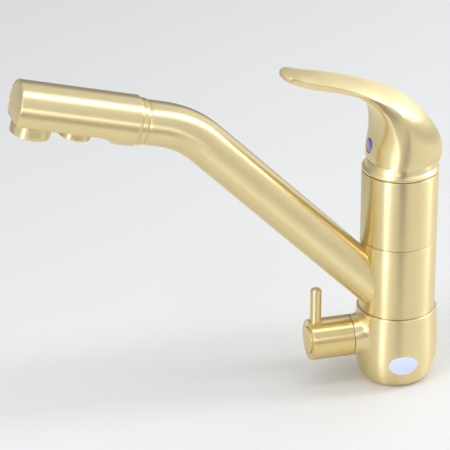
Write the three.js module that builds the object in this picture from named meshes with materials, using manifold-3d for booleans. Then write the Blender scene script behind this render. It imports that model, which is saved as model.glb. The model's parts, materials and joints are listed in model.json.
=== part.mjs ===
// Three way kitchen tap: mixed hot and cold water from a single lever, and filtered water from a
// quarter turn valve on the base. Millimetres, +Z up. The origin is the centre of the face that
// stands on the worktop, and the spout, the filter valve and the lever's blade point to -X.

import * as THREE from 'three';
import { mergeVertices } from 'three/addons/utils/BufferGeometryUtils.js';
import Module from 'manifold-3d';

const wasm = await Module();
wasm.setup();

// ---- Driving dimensions -------------------------------------------------------------------

// Clearances
const seam = 0.3;              // between pieces that are screwed or pressed together
const runningGap = 0.4;        // between pieces that turn or slide on each other
const sealGap = 0.3;           // round a seal in its groove

// Body column
const bodyRadius = 24;         // collar and cartridge head
const bodyEdge = 0.8;          // broken edges of the column's seams
const collarHeight = 47;
const headHeight = 46.5;       // cartridge head, above the collar
const collarWall = 4.5;        // column's skin to the fixed core that the collar turns on

// Base casing
const baseHeight = 49;
const baseTopProud = 1.2;      // base's top beyond the column
const baseBulge = 1.1;         // its fullest part beyond its top
const baseBulgeHeight = 20;
const footRadius = 18.5;
const footRoundness = 1.7;     // 2 is an ellipse, lower is a flatter curve
const flangeHeight = 6;        // inward flange that carries the core
const flangeBore = 14.6;

// Inlet block under the core, with the three inlets and the fixing
const blockHeight = 16.5;
const blockScrewCircle = 11;   // radius that its two screws lie on
const blockScrewRadius = 1.5;  // M3
const blockScrewHead = 2.75;
const blockScrewHeadHeight = 3;
const blockScrewSunk = 1.2;    // head inside the block's underside
const blockScrewReach = 8;     // length in the core
const inletCircle = 9.2;       // radius that the three inlets and the stud lie on
const inletRadius = 4.2;       // M10 x 1 thread, minor diameter
const inletDepth = 13;
const studRadius = 3.4;        // M8 thread, minor diameter
const studDepth = 14;
const riserRadius = 3;         // water passages in the core
const gasketInner = 15.4;
const gasketOuter = 17.4;
const gasketHeight = 2;
const setScrewRadius = 2.2;
const hexKeyRadius = 1.3;      // socket for a hexagon key, in the set and grub screws
const hexKeyDepth = 2;
const setScrewHeight = 10.6;
const setScrewBite = 3;        // depth of its seat in the block
const setScrewSunk = 1;        // its outer end below the casing's skin

// Spout
const spoutRootHeight = 50;    // where the tube's axis would meet the body's axis
const spoutRise = 45;          // degrees above horizontal, at the body
const spoutTilt = 14.5;        // degrees above horizontal, at the head
const spoutFirstLeg = 193.5;   // body axis to the corner of the two straight legs
const spoutSecondLeg = 107.3;  // that corner to the head's end face
const bendRadius = 58;
const tubeRadius = 13.75;
const tubeWall = 1.5;
const mainBore = 6;            // mixed water way through the collar and the head
const mainBoreOffset = 3.5;    // above the tube's axis
const filterBore = 3.4;        // filtered water way
const filterBoreOffset = -7.6; // below the tube's axis
const hoseWall = 1;            // inner hose for the filtered water
const hoseSpigot = 4;          // length of the hose held in each of its sockets

// Collar inside
const chamberDepth = 1.2;      // annular water chambers in the collar's bore
const slipRingThickness = 1;
const slipRingWidth = 2.4;
const oringSection = 1.8;
const chamberSide = 1;         // chamber's edge beyond the water way on each side, at least
const lowerSealRise = 4;       // seal heights above the collar's foot
const middleSealRise = 17.4;
const upperSealRise = 39.5;

// Spout head
const headRadius = 15.6;
const headLength = 76;
const headChamfer = 2.2;
const headFlat = 9.4;          // from the head's axis down to its milled underside
const headFlatLength = 52;
const headFlatRunOut = 12;     // radius of the cutter where the milled flat ends
const headSpigotLength = 12;
const headSealInset = 4;       // head's seal behind the tube's end
const headSealDepth = 2;
const headRimChamfer = 0.5;
const headRingLength = 2.8;
const headRingRadius = 14.4;
const headGroove = 1.2;        // shadow groove between the ring and the tube
const endCapRadius = 14.2;
const endCapThickness = 1.6;
const endCapDome = 0.7;

// Outlets under the head
const mainOutlet = { name: 'main', along: 12.6, radius: 12.3, drop: 7.2, flats: 23.2, bore: 8.6 };
const filterOutlet = { name: 'filtered', along: 39.7, radius: 10, drop: 4.8, flats: 18.6, bore: 7.2 };
const outletThread = 5;        // thread length of an outlet inside the head
const outletLip = 1;
const outletChamfer = 0.8;
const flatsLow = 1.6;          // spanner flats above the outlet's foot
const flatsHigh = 1;           // spanner flats below the outlet's shoulder
const insertSunk = 1.8;        // insert above the outlet's foot
const insertHoles = 6;
const washerThickness = 1.4;
const washerInset = 1.6;       // washer's bore inside the outlet's

// Filter valve on the base
const valveDrop = 17.8;        // base's top down to the valve's axis
const valveRadius = 13.1;
const bossLength = 30.7;       // body axis to the boss's outer face
const bossFillet = 3;
const knobLength = 27;
const knobEdge = 0.8;
const knobWeb = 5;             // length of the knob's web on the spindle
const knobScrewRoom = 3;       // between the spindle's end and the cap
const headworkRadius = 8.6;
const headworkNose = 6.2;
const headworkSunk = 3.5;      // valve's seat inside the core's skin
const headworkShoulder = 3;    // its shoulder beyond the boss's face
const discRadius = 6;
const discThickness = 2;
const valveWay = 1.9;          // water ways through the discs
const valveWayOffset = 2.9;    // from the valve's axis to each way
const valveSealThickness = 1.4;
const spindleRadius = 3.4;
const spindleFlange = 3;
const spindleSeal = 1.6;       // width of the groove for the spindle's seal
const spindleSealRise = 9;
const pinLeverRadius = 3.5;
const pinLeverReach = 35.6;    // valve axis to the tip
const pinLeverInset = 4.5;     // knob's outer face to the pin's axis
const pinLeverTipRound = 1.6;
const pinLeverSeat = 3.6;      // length screwed into the knob
const knobCapRadius = 8.2;
const knobCapThickness = 2;
const knobCapProud = 0.7;
const knobScrewRadius = 2.8;
const knobScrewShank = 1.6;
const knobScrewLength = 5.5;
const knobScrewHead = 1.8;
const screwSlot = 1;

// Cartridge and its nut
const seatDepth = 25;          // cartridge seat below the column's rim
const cartridgeRadius = 17.5;
const cartridgeBaseHeight = 3.7;
const cartridgeDiscRadius = 14.4;
const cartridgeDiscThickness = 3;
const movingDiscRadius = 10;
const carrierHeight = 4.6;
const portCircle = 9.2;
const mixedPort = 8;
const portSealRadius = 4.9;
const portSealBore = 3.4;
const portSealHeight = 1.2;
const housingWall = 2.3;
const turretNeckRadius = 11.4;
const turretRise = 5.4;        // turret's top above the column's rim
const turretFlange = 1.6;
const pivotRise = 0.5;         // lever's tilting axis above the column's rim
const pivotPinRadius = 1.5;
const pivotPinLength = 20;
const stemWidth = 8;
const stemRise = 27;           // stem's top above the column's rim
const stemBallRadius = 2.6;
const stemArmRadius = 2;
const pocketFloor = 1;         // disc carrier below the stem's ball
const liftAngle = 20;          // degrees the lever lifts
const nutRadius = 20;
const nutRise = 3.6;
const nutCollarRadius = 17.4;

// Dome cap between the column and the lever
const capLip = 1.9;
const capShoulder = 3.7;
const capShoulderInset = 1.6;  // inside the column
const capTopInset = 2.8;
const capHeight = 7.4;
const capWall = 1.6;

// Lever
const leverGap = 0.9;          // dome cap to the lever's lower edge
const skirtInset = 2.6;        // lever's skirt inside the column
const skirtWall = 1.6;
const shellOverhang = 0.8;     // the lever's shell beyond the column, at its sides
const shellInset = 0.7;        // the shell's inner wall inside the column's radius
const shellThickness = 4;
const bladeReach = 78.6;       // body axis to the blade's tip
const bladeHalfWidth = 12.2;
const bladeRise = 64;          // blade's tip above the lever's lower edge
const socketCeiling = 9.2;
const skirtCeiling = 3;
const stemBoss = 7.4;
const plugRise = 9.2;          // hot and cold mark above the lever's lower edge
const plugRadius = 4.6;
const plugThickness = 2;
const plugSunk = 0.3;          // mark's face inside the skirt's skin
const grubRadius = 2.4;
const grubLength = 7;

// Roundness
const fine = 32;
const medium = 18;
const coarse = 12;
const hexagon = 6;

// ---- Levels and places that follow from them -------------------------------------------------

const spigotRadius = bodyRadius - collarWall;
const baseTopRadius = bodyRadius + baseTopProud;
const baseBulgeRadius = baseTopRadius + baseBulge;
const capShoulderRadius = bodyRadius - capShoulderInset;
const capTopRadius = bodyRadius - capTopInset;
const skirtRadius = bodyRadius - skirtInset;
const valveHeight = baseHeight - valveDrop;
const coreFoot = blockHeight + seam;
const collarFoot = baseHeight + seam;
const collarTop = collarFoot + collarHeight;
const headFoot = collarTop + seam;
const rim = headFoot + headHeight;
const leverFoot = rim + seam + capHeight + leverGap;
const collarBore = spigotRadius + runningGap + 0.1;
const tubeBore = tubeRadius - tubeWall;
const rise = THREE.MathUtils.degToRad(spoutRise);
const tilt = THREE.MathUtils.degToRad(spoutTilt);
const headEndOnTube = headLength + seam + headRingLength + headGroove;

// ---- Materials --------------------------------------------------------------------------------

const finish = (color, roughness, metalness) =>
  new THREE.MeshStandardMaterial({ color, roughness, metalness });
const satinGold = finish(0xd8bd78, 0.32, 1);
const rawBrass = finish(0xb8913f, 0.45, 1);
const steel = finish(0xb9bcc0, 0.3, 1);
const rubber = finish(0x1c1c1e, 0.9, 0);
const whitePlastic = finish(0xe8e6df, 0.5, 0);
const greyPlastic = finish(0x7d8288, 0.55, 0);
const ceramic = finish(0xf3f1ea, 0.25, 0);
const clearHose = finish(0xd9e2e6, 0.35, 0);
const markBlue = finish(0x3a4f9c, 0.35, 0);

// ---- Solid helpers ------------------------------------------------------------------------------

// Closed solid of a geometry, with shared corners merged and slivers left out.
function solid(geometry) {
  const bare = geometry.clone();
  bare.deleteAttribute('normal');
  bare.deleteAttribute('uv');
  const merged = mergeVertices(bare, 1e-4);
  const corners = merged.index.array;
  const places = merged.attributes.position.array;
  const kept = [];
  let volume = 0;
  for (let i = 0; i < corners.length; i += 3) {
    const [a, b, c] = [corners[i], corners[i + 1], corners[i + 2]];
    if (a === b || b === c || c === a) continue;
    kept.push(a, b, c);
    const [p, q, r] = [a, b, c].map((k) => new THREE.Vector3().fromArray(places, 3 * k));
    volume += p.dot(q.cross(r));
  }
  if (volume < 0) kept.reverse();
  const mesh = new wasm.Mesh({
    numProp: 3,
    vertProperties: Float32Array.from(places),
    triVerts: Uint32Array.from(kept),
  });
  mesh.merge();
  return new wasm.Manifold(mesh);
}

function geometryOf(body) {
  const mesh = body.getMesh();
  const geometry = new THREE.BufferGeometry();
  geometry.setAttribute('position', new THREE.BufferAttribute(mesh.vertProperties, 3));
  geometry.setIndex(new THREE.BufferAttribute(mesh.triVerts, 1));
  geometry.computeVertexNormals();
  return geometry;
}

// Solid of revolution about Z from [radius, height] pairs. It is closed along the axis, or on
// itself where it is a ring.
function turned(profile, sides = medium) {
  const points = profile.map(([r, z]) => new THREE.Vector2(r, z));
  const first = profile[0];
  const last = profile[profile.length - 1];
  if (first[0] > 0 || last[0] > 0) points.push(new THREE.Vector2(...first));
  const lathe = new THREE.LatheGeometry(points, sides);
  lathe.rotateX(Math.PI / 2);
  return solid(lathe);
}

const rod = (radius, low, high, sides = medium) =>
  turned([[0, low], [radius, low], [radius, high], [0, high]], sides);

const ring = (outer, inner, low, high, sides = medium) =>
  turned([[inner, low], [outer, low], [outer, high], [inner, high]], sides);

// Ring of round section, for a seal.
function roundRing(radius, section, height, sides = medium) {
  const profile = [];
  const corners = 6;
  for (let i = 0; i < corners; i += 1) {
    const turn = (2 * Math.PI * (i + 0.5)) / corners;
    profile.push([radius + (section / 2) * Math.cos(turn), height + (section / 2) * Math.sin(turn)]);
  }
  return turned(profile, sides);
}

function box(low, high) {
  const size = high.map((v, i) => v - low[i]);
  const geometry = new THREE.BoxGeometry(...size);
  geometry.translate(...low.map((v, i) => v + size[i] / 2));
  return solid(geometry);
}

// A solid turned and moved: turns are degrees about X, Y and Z, in that order.
const placed = (body, turns, place = [0, 0, 0]) => body.rotate(turns).translate(place);

const movedTo = (body, [x, y]) => body.translate([x, y, 0]);

// Rod along -X from a start to an end distance, at a height.
const rodAlongX = (radius, start, end, height, sides = coarse) =>
  placed(rod(radius, start, end, sides), [0, -90, 0], [0, 0, height]);

// Closed skin over a row of like sections, each an array of Vector3 in the same turn.
function lofted(sections) {
  const count = sections[0].length;
  const places = sections.flat().flatMap((p) => [p.x, p.y, p.z]);
  const corners = [];
  for (let s = 0; s + 1 < sections.length; s += 1) {
    for (let i = 0; i < count; i += 1) {
      const j = (i + 1) % count;
      const [a, b, c, d] = [s * count + i, s * count + j, (s + 1) * count + i, (s + 1) * count + j];
      corners.push(a, b, d, a, d, c);
    }
  }
  const lastRow = (sections.length - 1) * count;
  for (let i = 1; i + 1 < count; i += 1) {
    corners.push(0, i + 1, i);
    corners.push(lastRow, lastRow + i, lastRow + i + 1);
  }
  const geometry = new THREE.BufferGeometry();
  geometry.setAttribute('position', new THREE.Float32BufferAttribute(places, 3));
  geometry.setIndex(corners);
  return solid(geometry);
}

function add(parent, name, body, material) {
  const mesh = new THREE.Mesh(geometryOf(body), material.clone());
  mesh.name = name;
  parent.add(mesh);
  return mesh;
}

// ---- Base casing --------------------------------------------------------------------------------

function baseRadiusAt(z) {
  if (z >= baseBulgeHeight) {
    const up = (z - baseBulgeHeight) / (baseHeight - baseBulgeHeight);
    return baseBulgeRadius - (baseBulgeRadius - baseTopRadius) * up * up;
  }
  const down = (baseBulgeHeight - z) / baseBulgeHeight;
  const round = (1 - down ** footRoundness) ** (1 / footRoundness);
  return footRadius + (baseBulgeRadius - footRadius) * round;
}

function makeBaseCasing() {
  const rows = 9;
  const outline = [[0, 0]];
  for (let i = 0; i <= rows; i += 1) {
    const z = (baseHeight - bodyEdge) * (1 - Math.cos((Math.PI * i) / rows)) / 2;
    outline.push([baseRadiusAt(z), z]);
  }
  outline.push([baseTopRadius - bodyEdge, baseHeight], [0, baseHeight]);
  const filletRows = 4;
  const filletStart = baseBulgeRadius - 1;
  const bossStart = spigotRadius / 2;
  const bossFoot = valveRadius + bossFillet;
  const boss = [[0, bossStart], [bossFoot, bossStart], [bossFoot, filletStart]];
  for (let i = 1; i <= filletRows; i += 1) {
    const turn = (Math.PI / 2) * (i / filletRows);
    boss.push([
      valveRadius + bossFillet * (1 - Math.sin(turn)),
      filletStart + bossFillet * (1 - Math.cos(turn)),
    ]);
  }
  const edge = bodyEdge / 2;
  boss.push([valveRadius, bossLength - edge], [valveRadius - edge, bossLength], [0, bossLength]);
  return turned(outline, fine)
    .add(placed(turned(boss, medium), [0, -90, 0], [0, 0, valveHeight]))
    .subtract(rod(spigotRadius + seam, flangeHeight, baseHeight + 1, fine))
    .subtract(rod(flangeBore + seam, -1, flangeHeight + 1, medium))
    .subtract(ring(gasketOuter + sealGap, gasketInner - sealGap, -1, gasketHeight + sealGap, medium))
    .subtract(rodAlongX(headworkRadius + seam, spigotRadius / 2, bossLength + 1, valveHeight, medium))
    .subtract(rodAlongX(setScrewRadius + seam, -baseBulgeRadius - 2, -spigotRadius, setScrewHeight));
}

// ---- Inlet block, and the core that stands on it up to the cartridge ------------------------------

const sealGroove = oringSection + 2 * sealGap;
const sealRadius = spigotRadius + sealGap * 0.4 - oringSection / 2;
const sealHeights = {
  lower: collarFoot + lowerSealRise,
  middle: collarFoot + middleSealRise,
  upper: collarFoot + upperSealRise,
};
const seat = rim - seatDepth;

// Heights at the collar's wall where the two water ways of the tilted tube arrive.
const wayHeight = (offset) => spoutRootHeight + bodyRadius * Math.tan(rise) + offset / Math.cos(rise)
  - (bodyRadius - collarBore) / 2;
const filterChamber = wayHeight(filterBoreOffset);
const mainChamber = wayHeight(mainBoreOffset);

const screwPlace = blockScrewCircle * Math.SQRT1_2;
const blockScrewPlaces = { front: [-screwPlace, -screwPlace], rear: [screwPlace, screwPlace] };
const blockScrewEnd = coreFoot + blockScrewReach;
const inletPlaces = { hot: [0, inletCircle], cold: [0, -inletCircle], filtered: [-inletCircle, 0] };

// Seat for the screw that holds the casing, in the side of what stands in it.
const setScrewSeat = () =>
  rodAlongX(setScrewRadius + seam, -spigotRadius - 1, setScrewBite - spigotRadius, setScrewHeight);

function makeInletBlock() {
  let block = turned([
    [0, 0], [flangeBore, 0], [flangeBore, flangeHeight + seam], [spigotRadius, flangeHeight + seam],
    [spigotRadius, blockHeight], [0, blockHeight],
  ], fine);
  const pocketFloor = blockHeight - portSealHeight - sealGap;
  for (const place of Object.values(inletPlaces)) {
    const inlet = rod(inletRadius, -1, inletDepth, coarse);
    const port = rod(riserRadius, inletDepth - 1, blockHeight + 1, coarse);
    const pocket = rod(portSealRadius + sealGap, pocketFloor, blockHeight + 1, coarse);
    block = block.subtract(movedTo(inlet.add(port).add(pocket), place));
  }
  const headRoom = rod(blockScrewHead + seam, -1, blockScrewSunk + blockScrewHeadHeight + seam, coarse);
  for (const place of Object.values(blockScrewPlaces)) {
    const shankRoom = rod(blockScrewRadius + seam, 0, blockHeight + 1, coarse);
    block = block.subtract(movedTo(headRoom.add(shankRoom), place));
  }
  return block
    .subtract(movedTo(rod(studRadius, -1, studDepth, coarse), [inletCircle, 0]))
    .subtract(setScrewSeat());
}

function makeCore() {
  const outline = [
    [0, coreFoot], [spigotRadius, coreFoot],
    [spigotRadius, headFoot], [bodyRadius - bodyEdge, headFoot], [bodyRadius, headFoot + bodyEdge],
    [bodyRadius, rim - bodyEdge], [bodyRadius - bodyEdge, rim], [nutRadius + seam, rim],
    [nutRadius + seam, nutFoot - seam], [cartridgeRadius + seam, nutFoot - seam],
    [cartridgeRadius + seam, seat], [0, seat],
  ];
  let core = turned(outline, fine);
  const grooveRadius = sealRadius - oringSection / 2 - sealGap;
  for (const height of Object.values(sealHeights)) {
    const low = height - sealGroove / 2;
    core = core.subtract(ring(spigotRadius + 1, grooveRadius, low, low + sealGroove, fine));
  }
  for (const place of [inletPlaces.hot, inletPlaces.cold]) {
    core = core.subtract(movedTo(rod(riserRadius, coreFoot - 1, seat + 1, coarse), place));
  }
  const screwHole = rod(blockScrewRadius + seam, coreFoot - 1, blockScrewEnd + seam, coarse);
  for (const place of Object.values(blockScrewPlaces)) {
    core = core.subtract(movedTo(screwHole, place));
  }
  const filteredFeed = rod(valveWay, coreFoot - 1, valveHeight + valveWay / 2, coarse);
  const filteredRiser = rod(riserRadius, valveHeight, filterChamber, coarse);
  const mixedRiser = rod(riserRadius, mainChamber, seat + 1, coarse);
  const valveSeat = rodAlongX(discRadius + seam, headworkStart - seam, spigotRadius + 1, valveHeight, medium);
  return core
    .subtract(movedTo(filteredFeed, inletPlaces.filtered))
    .subtract(filteredRiser)
    .subtract(movedTo(mixedRiser, [mixedPort, 0]))
    .subtract(valveSeat)
    .subtract(rodAlongX(valveWay, 0, spigotRadius, valveHeight + valveWayOffset))
    .subtract(rodAlongX(valveWay, inletCircle, spigotRadius, valveHeight - valveWayOffset))
    .subtract(rodAlongX(riserRadius, 0, spigotRadius + 1, filterChamber))
    .subtract(rodAlongX(riserRadius, -spigotRadius - 1, -mixedPort, mainChamber));
}

function addBase(parent) {
  add(parent, 'base_casing', makeBaseCasing(), satinGold);
  add(parent, 'body_core', makeCore(), satinGold);
  add(parent, 'inlet_block', makeInletBlock(), rawBrass);
  add(parent, 'base_gasket', ring(gasketOuter, gasketInner, 0, gasketHeight, medium), rubber);
  const screwStart = setScrewBite - spigotRadius - seam;
  const screwFace = baseRadiusAt(setScrewHeight) - setScrewSunk;
  const setScrew = rodAlongX(setScrewRadius, -screwFace, screwStart, setScrewHeight);
  const setKey = rodAlongX(hexKeyRadius, -screwFace - 1, hexKeyDepth - screwFace, setScrewHeight, hexagon);
  add(parent, 'base_set_screw', setScrew.subtract(setKey), steel);
  const headTop = blockScrewSunk + blockScrewHeadHeight;
  const blockScrew = rod(blockScrewHead, blockScrewSunk, headTop, coarse)
    .add(rod(blockScrewRadius, headTop - 1, blockScrewEnd, coarse))
    .subtract(rod(hexKeyRadius, 0, blockScrewSunk + hexKeyDepth, hexagon));
  for (const [name, place] of Object.entries(blockScrewPlaces)) {
    add(parent, `block_screw_${name}`, movedTo(blockScrew, place), steel);
  }
  for (const [name, place] of Object.entries(inletPlaces)) {
    const sealFoot = blockHeight - portSealHeight;
    const inletSeal = ring(portSealRadius, portSealBore, sealFoot, blockHeight, coarse);
    add(parent, `inlet_seal_${name}`, movedTo(inletSeal, place), rubber);
  }
}

// ---- Collar, spout tube and inner hose -------------------------------------------------------------

const collarWallWay = (offset, radius) => {
  const way = placed(rod(radius, 10, 2 * bodyRadius, coarse), [0, -90, 0]).translate([0, 0, offset]);
  return placed(way, [0, spoutRise, 0], [0, 0, spoutRootHeight]);
};

function makeCollar() {
  const slipPocket = slipRingThickness + seam;
  const pocketRadius = collarBore + slipRingWidth;
  const edge = bodyEdge / 2;
  const outline = [
    [pocketRadius, collarFoot], [bodyRadius - edge, collarFoot], [bodyRadius, collarFoot + edge],
    [bodyRadius, collarTop - edge], [bodyRadius - edge, collarTop], [pocketRadius, collarTop],
    [pocketRadius, collarTop - slipPocket], [collarBore, collarTop - slipPocket],
    [collarBore, collarFoot + slipPocket], [pocketRadius, collarFoot + slipPocket],
  ];
  const chamber = (height, half) =>
    ring(collarBore + chamberDepth, collarBore - 1, height - half, height + half, fine);
  return turned(outline, fine)
    .subtract(chamber(filterChamber, filterBore + chamberSide))
    .subtract(chamber(mainChamber, mainBore + chamberSide))
    .subtract(collarWallWay(filterBoreOffset, filterBore))
    .subtract(collarWallWay(mainBoreOffset, mainBore));
}

// Middle line of the spout, or a line beside it in the same plane, from a distance along its
// first leg to a distance short of the head's end face.
function spoutLine(offset, start, endSpare) {
  const out = (angle) => new THREE.Vector3(-Math.cos(angle), 0, Math.sin(angle));
  const up = (angle) => new THREE.Vector3(-Math.sin(angle), 0, -Math.cos(angle)).negate();
  const root = new THREE.Vector3(0, 0, spoutRootHeight);
  const corner = root.clone().addScaledVector(out(rise), spoutFirstLeg);
  const tangent = bendRadius * Math.tan((rise - tilt) / 2);
  const bendStart = corner.clone().addScaledVector(out(rise), -tangent);
  const centre = bendStart.clone().addScaledVector(up(rise), -bendRadius);
  const line = new THREE.CurvePath();
  const first = root.clone().addScaledVector(out(rise), start).addScaledVector(up(rise), offset);
  line.add(new THREE.LineCurve3(first, bendStart.clone().addScaledVector(up(rise), offset)));
  const steps = 6;
  const bend = [];
  for (let i = 0; i <= steps; i += 1) {
    const angle = rise + (tilt - rise) * (i / steps);
    bend.push(centre.clone().addScaledVector(up(angle), bendRadius + offset));
  }
  for (let i = 0; i < steps; i += 1) line.add(new THREE.LineCurve3(bend[i], bend[i + 1]));
  const end = corner.clone().addScaledVector(out(tilt), spoutSecondLeg - endSpare);
  end.addScaledVector(up(tilt), offset);
  line.add(new THREE.LineCurve3(bend[steps], end));
  return line;
}

// Round bar along the spout's line: rings of points set square to it.
function barAlong(line, radius, sides) {
  const stops = [line.curves[0].v1, ...line.curves.map((c) => c.v2)];
  const sections = stops.map((place, i) => {
    const before = line.curves[Math.max(i - 1, 0)];
    const after = line.curves[Math.min(i, line.curves.length - 1)];
    const along = before.getTangent(0.5).add(after.getTangent(0.5)).normalize();
    const side = new THREE.Vector3(0, 1, 0);
    const square = new THREE.Vector3().crossVectors(side, along);
    return Array.from({ length: sides }, (_, k) => {
      const turn = (2 * Math.PI * k) / sides;
      const reach = square.clone().multiplyScalar(radius * Math.cos(turn));
      return place.clone().add(reach).addScaledVector(side, radius * Math.sin(turn));
    });
  });
  return lofted(sections);
}

function addSpout(parent) {
  add(parent, 'spout_collar', makeCollar(), satinGold);
  const past = 2;
  const start = bodyRadius / 3;
  const outer = barAlong(spoutLine(0, start, headEndOnTube), tubeRadius, medium);
  const inner = barAlong(spoutLine(0, start - past, headEndOnTube - past), tubeBore, medium);
  const cope = rod(bodyRadius + seam, collarFoot - 10, collarTop + 20, fine);
  add(parent, 'spout_tube', outer.subtract(inner).subtract(cope), satinGold);
  const hoseRadius = filterBore - seam;
  const hoseStart = (bodyRadius - hoseSpigot / 2) / Math.cos(rise);
  const hoseEnd = headEndOnTube + headSpigotLength - hoseSpigot;
  const hose = barAlong(spoutLine(filterBoreOffset, hoseStart, hoseEnd), hoseRadius, coarse);
  const boreLine = spoutLine(filterBoreOffset, hoseStart - past, hoseEnd - past);
  const hoseBore = barAlong(boreLine, hoseRadius - hoseWall, coarse);
  add(parent, 'filtered_water_hose', hose.subtract(hoseBore), clearHose);
  const slipInner = collarBore + seam;
  const slipOuter = collarBore + slipRingWidth - seam;
  const lowSlip = ring(slipOuter, slipInner, collarFoot, collarFoot + slipRingThickness, medium);
  const highSlip = ring(slipOuter, slipInner, collarTop - slipRingThickness, collarTop, medium);
  add(parent, 'lower_slip_ring', lowSlip, whitePlastic);
  add(parent, 'upper_slip_ring', highSlip, whitePlastic);
}

function addCollarSeals(parent) {
  for (const [name, height] of Object.entries(sealHeights)) {
    add(parent, `collar_seal_${name}`, roundRing(sealRadius, oringSection, height, medium), rubber);
  }
}

// ---- Spout head: local X runs from its end face back along the tube, Z is up from its axis -----------

// Rod along the head's axis, between two distances from its end face.
const alongHead = (radius, start, end, height = 0, sides = medium) =>
  placed(rod(radius, start, end, sides), [0, 90, 0], [0, 0, height]);

const sealStart = headEndOnTube + headSealInset;

function makeSpoutHead() {
  const spigot = tubeBore - seam;
  const spigotEnd = headEndOnTube + headSpigotLength;
  const body = turned([
    [0, 0], [headRadius - headRimChamfer, 0], [headRadius, headRimChamfer],
    [headRadius, headLength - headChamfer], [headRadius - headChamfer * 0.6, headLength],
    [spigot, headLength], [spigot, sealStart], [spigot - headSealDepth, sealStart],
    [spigot - headSealDepth, sealStart + sealGroove], [spigot, sealStart + sealGroove],
    [spigot, spigotEnd], [0, spigotEnd],
  ], fine);
  let head = placed(body, [0, 90, 0]);
  const below = headRadius + 2;
  const flat = box([-1, -below, -below], [headFlatLength, below, -headFlat]);
  const runOut = placed(rod(headFlatRunOut, -below, below, medium), [90, 0, 0],
    [headFlatLength, 0, -headFlat - headFlatRunOut]);
  head = head.subtract(flat).subtract(runOut);
  head = head.subtract(alongHead(endCapRadius + seam, -1, endCapThickness + seam));
  head = head.subtract(alongHead(mainBore, mainOutlet.along, spigotEnd + 1, mainBoreOffset, coarse));
  head = head.subtract(alongHead(filterBore, filterOutlet.along, spigotEnd + 1, filterBoreOffset, coarse));
  for (const outlet of [mainOutlet, filterOutlet]) {
    const ceiling = outletTop(outlet) + washerThickness + seam;
    const socket = rod(outlet.bore + outletLip + seam, -below, ceiling, medium);
    head = head.subtract(movedTo(socket, [outlet.along, 0]));
  }
  const mainDrop = rod(mainBore, -headFlat, mainBoreOffset, coarse);
  return head.subtract(movedTo(mainDrop, [mainOutlet.along, 0]));
}

const outletTop = (outlet) => -headFlat - seam + outletThread * (outlet === mainOutlet ? 1 : 0.5);

function makeOutletShell(outlet, foot, top) {
  const threadRadius = outlet.bore + outletLip;
  const shoulder = -headFlat - seam;
  const shell = turned([
    [outlet.bore, foot + outletChamfer], [outlet.bore + outletChamfer, foot],
    [outlet.radius - outletChamfer, foot], [outlet.radius, foot + outletChamfer],
    [outlet.radius, shoulder], [threadRadius, shoulder], [threadRadius, top], [outlet.bore, top],
  ], fine);
  const half = outlet.flats / 2;
  const flatTop = shoulder - flatsHigh;
  const wide = outlet.radius + 1;
  const nearFlat = box([-wide, -wide, foot + flatsLow], [wide, -half, flatTop]);
  const farFlat = box([-wide, half, foot + flatsLow], [wide, wide, flatTop]);
  return shell.subtract(nearFlat).subtract(farFlat);
}

function makeOutletInsert(outlet, foot, top) {
  const radius = outlet.bore - seam;
  let insert = rod(radius, foot + insertSunk, top - sealGap * 2, medium);
  for (const [circle, count] of [[0, 1], [radius * 0.6, insertHoles]]) {
    for (let i = 0; i < count; i += 1) {
      const turn = (2 * Math.PI * i) / count;
      const hole = rod(radius * 0.16, foot, top + 1, hexagon);
      insert = insert.subtract(movedTo(hole, [circle * Math.cos(turn), circle * Math.sin(turn)]));
    }
  }
  return insert;
}

function addOutlet(parent, outlet) {
  const foot = -headFlat - seam - outlet.drop;
  const top = outletTop(outlet);
  const washerFoot = top + seam / 2;
  const washerTop = washerFoot + washerThickness;
  const washerOuter = outlet.bore + outletLip - seam;
  const washer = ring(washerOuter, outlet.bore - washerInset, washerFoot, washerTop, medium);
  const pieces = [
    [`${outlet.name}_outlet_shell`, makeOutletShell(outlet, foot, top), satinGold],
    [`${outlet.name}_outlet_insert`, makeOutletInsert(outlet, foot, top), whitePlastic],
    [`${outlet.name}_outlet_washer`, washer, rubber],
  ];
  for (const [name, body, material] of pieces) {
    add(parent, name, body, material).position.x = outlet.along;
  }
}

function addSpoutHead(parent) {
  const head = new THREE.Group();
  const corner = new THREE.Vector3(-Math.cos(rise), 0, Math.sin(rise)).multiplyScalar(spoutFirstLeg);
  const end = new THREE.Vector3(-Math.cos(tilt), 0, Math.sin(tilt)).multiplyScalar(spoutSecondLeg);
  head.position.set(0, 0, spoutRootHeight).add(corner).add(end);
  head.rotation.y = tilt;
  parent.add(head);
  add(head, 'spout_head', makeSpoutHead(), satinGold);
  const cap = turned([
    [0, -endCapDome], [endCapRadius * 0.6, -endCapDome * 0.7], [endCapRadius - headRimChamfer, 0],
    [endCapRadius, headRimChamfer], [endCapRadius, endCapThickness], [0, endCapThickness],
  ], fine);
  const underside = -headFlat + seam;
  const underCut = box([-1, -headRadius, -headRadius], [endCapThickness + 1, headRadius, underside]);
  add(head, 'head_end_cap', placed(cap, [0, 90, 0]).subtract(underCut), satinGold);
  const ringStart = headLength + seam;
  const spacer = ring(headRingRadius, tubeBore, ringStart, ringStart + headRingLength, fine);
  add(head, 'head_ring', placed(spacer, [0, 90, 0]), satinGold);
  const sealMiddle = tubeBore - sealGap - oringSection / 2;
  const headSeal = roundRing(sealMiddle, oringSection, sealStart + sealGroove / 2, medium);
  add(head, 'head_seal', placed(headSeal, [0, 90, 0]), rubber);
  addOutlet(head, mainOutlet);
  addOutlet(head, filterOutlet);
}

// ---- Filter valve: local Z runs outward from the body's axis, local X is up ---------------------------

const headworkStart = spigotRadius - headworkSunk;
const knobFoot = bossLength + seam;
const knobFace = knobFoot + knobLength;
const spindleEnd = knobFace - knobCapThickness - knobScrewRoom;
const knobWebFoot = spindleEnd - knobWeb;
const headworkEnd = knobWebFoot - runningGap;

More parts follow.
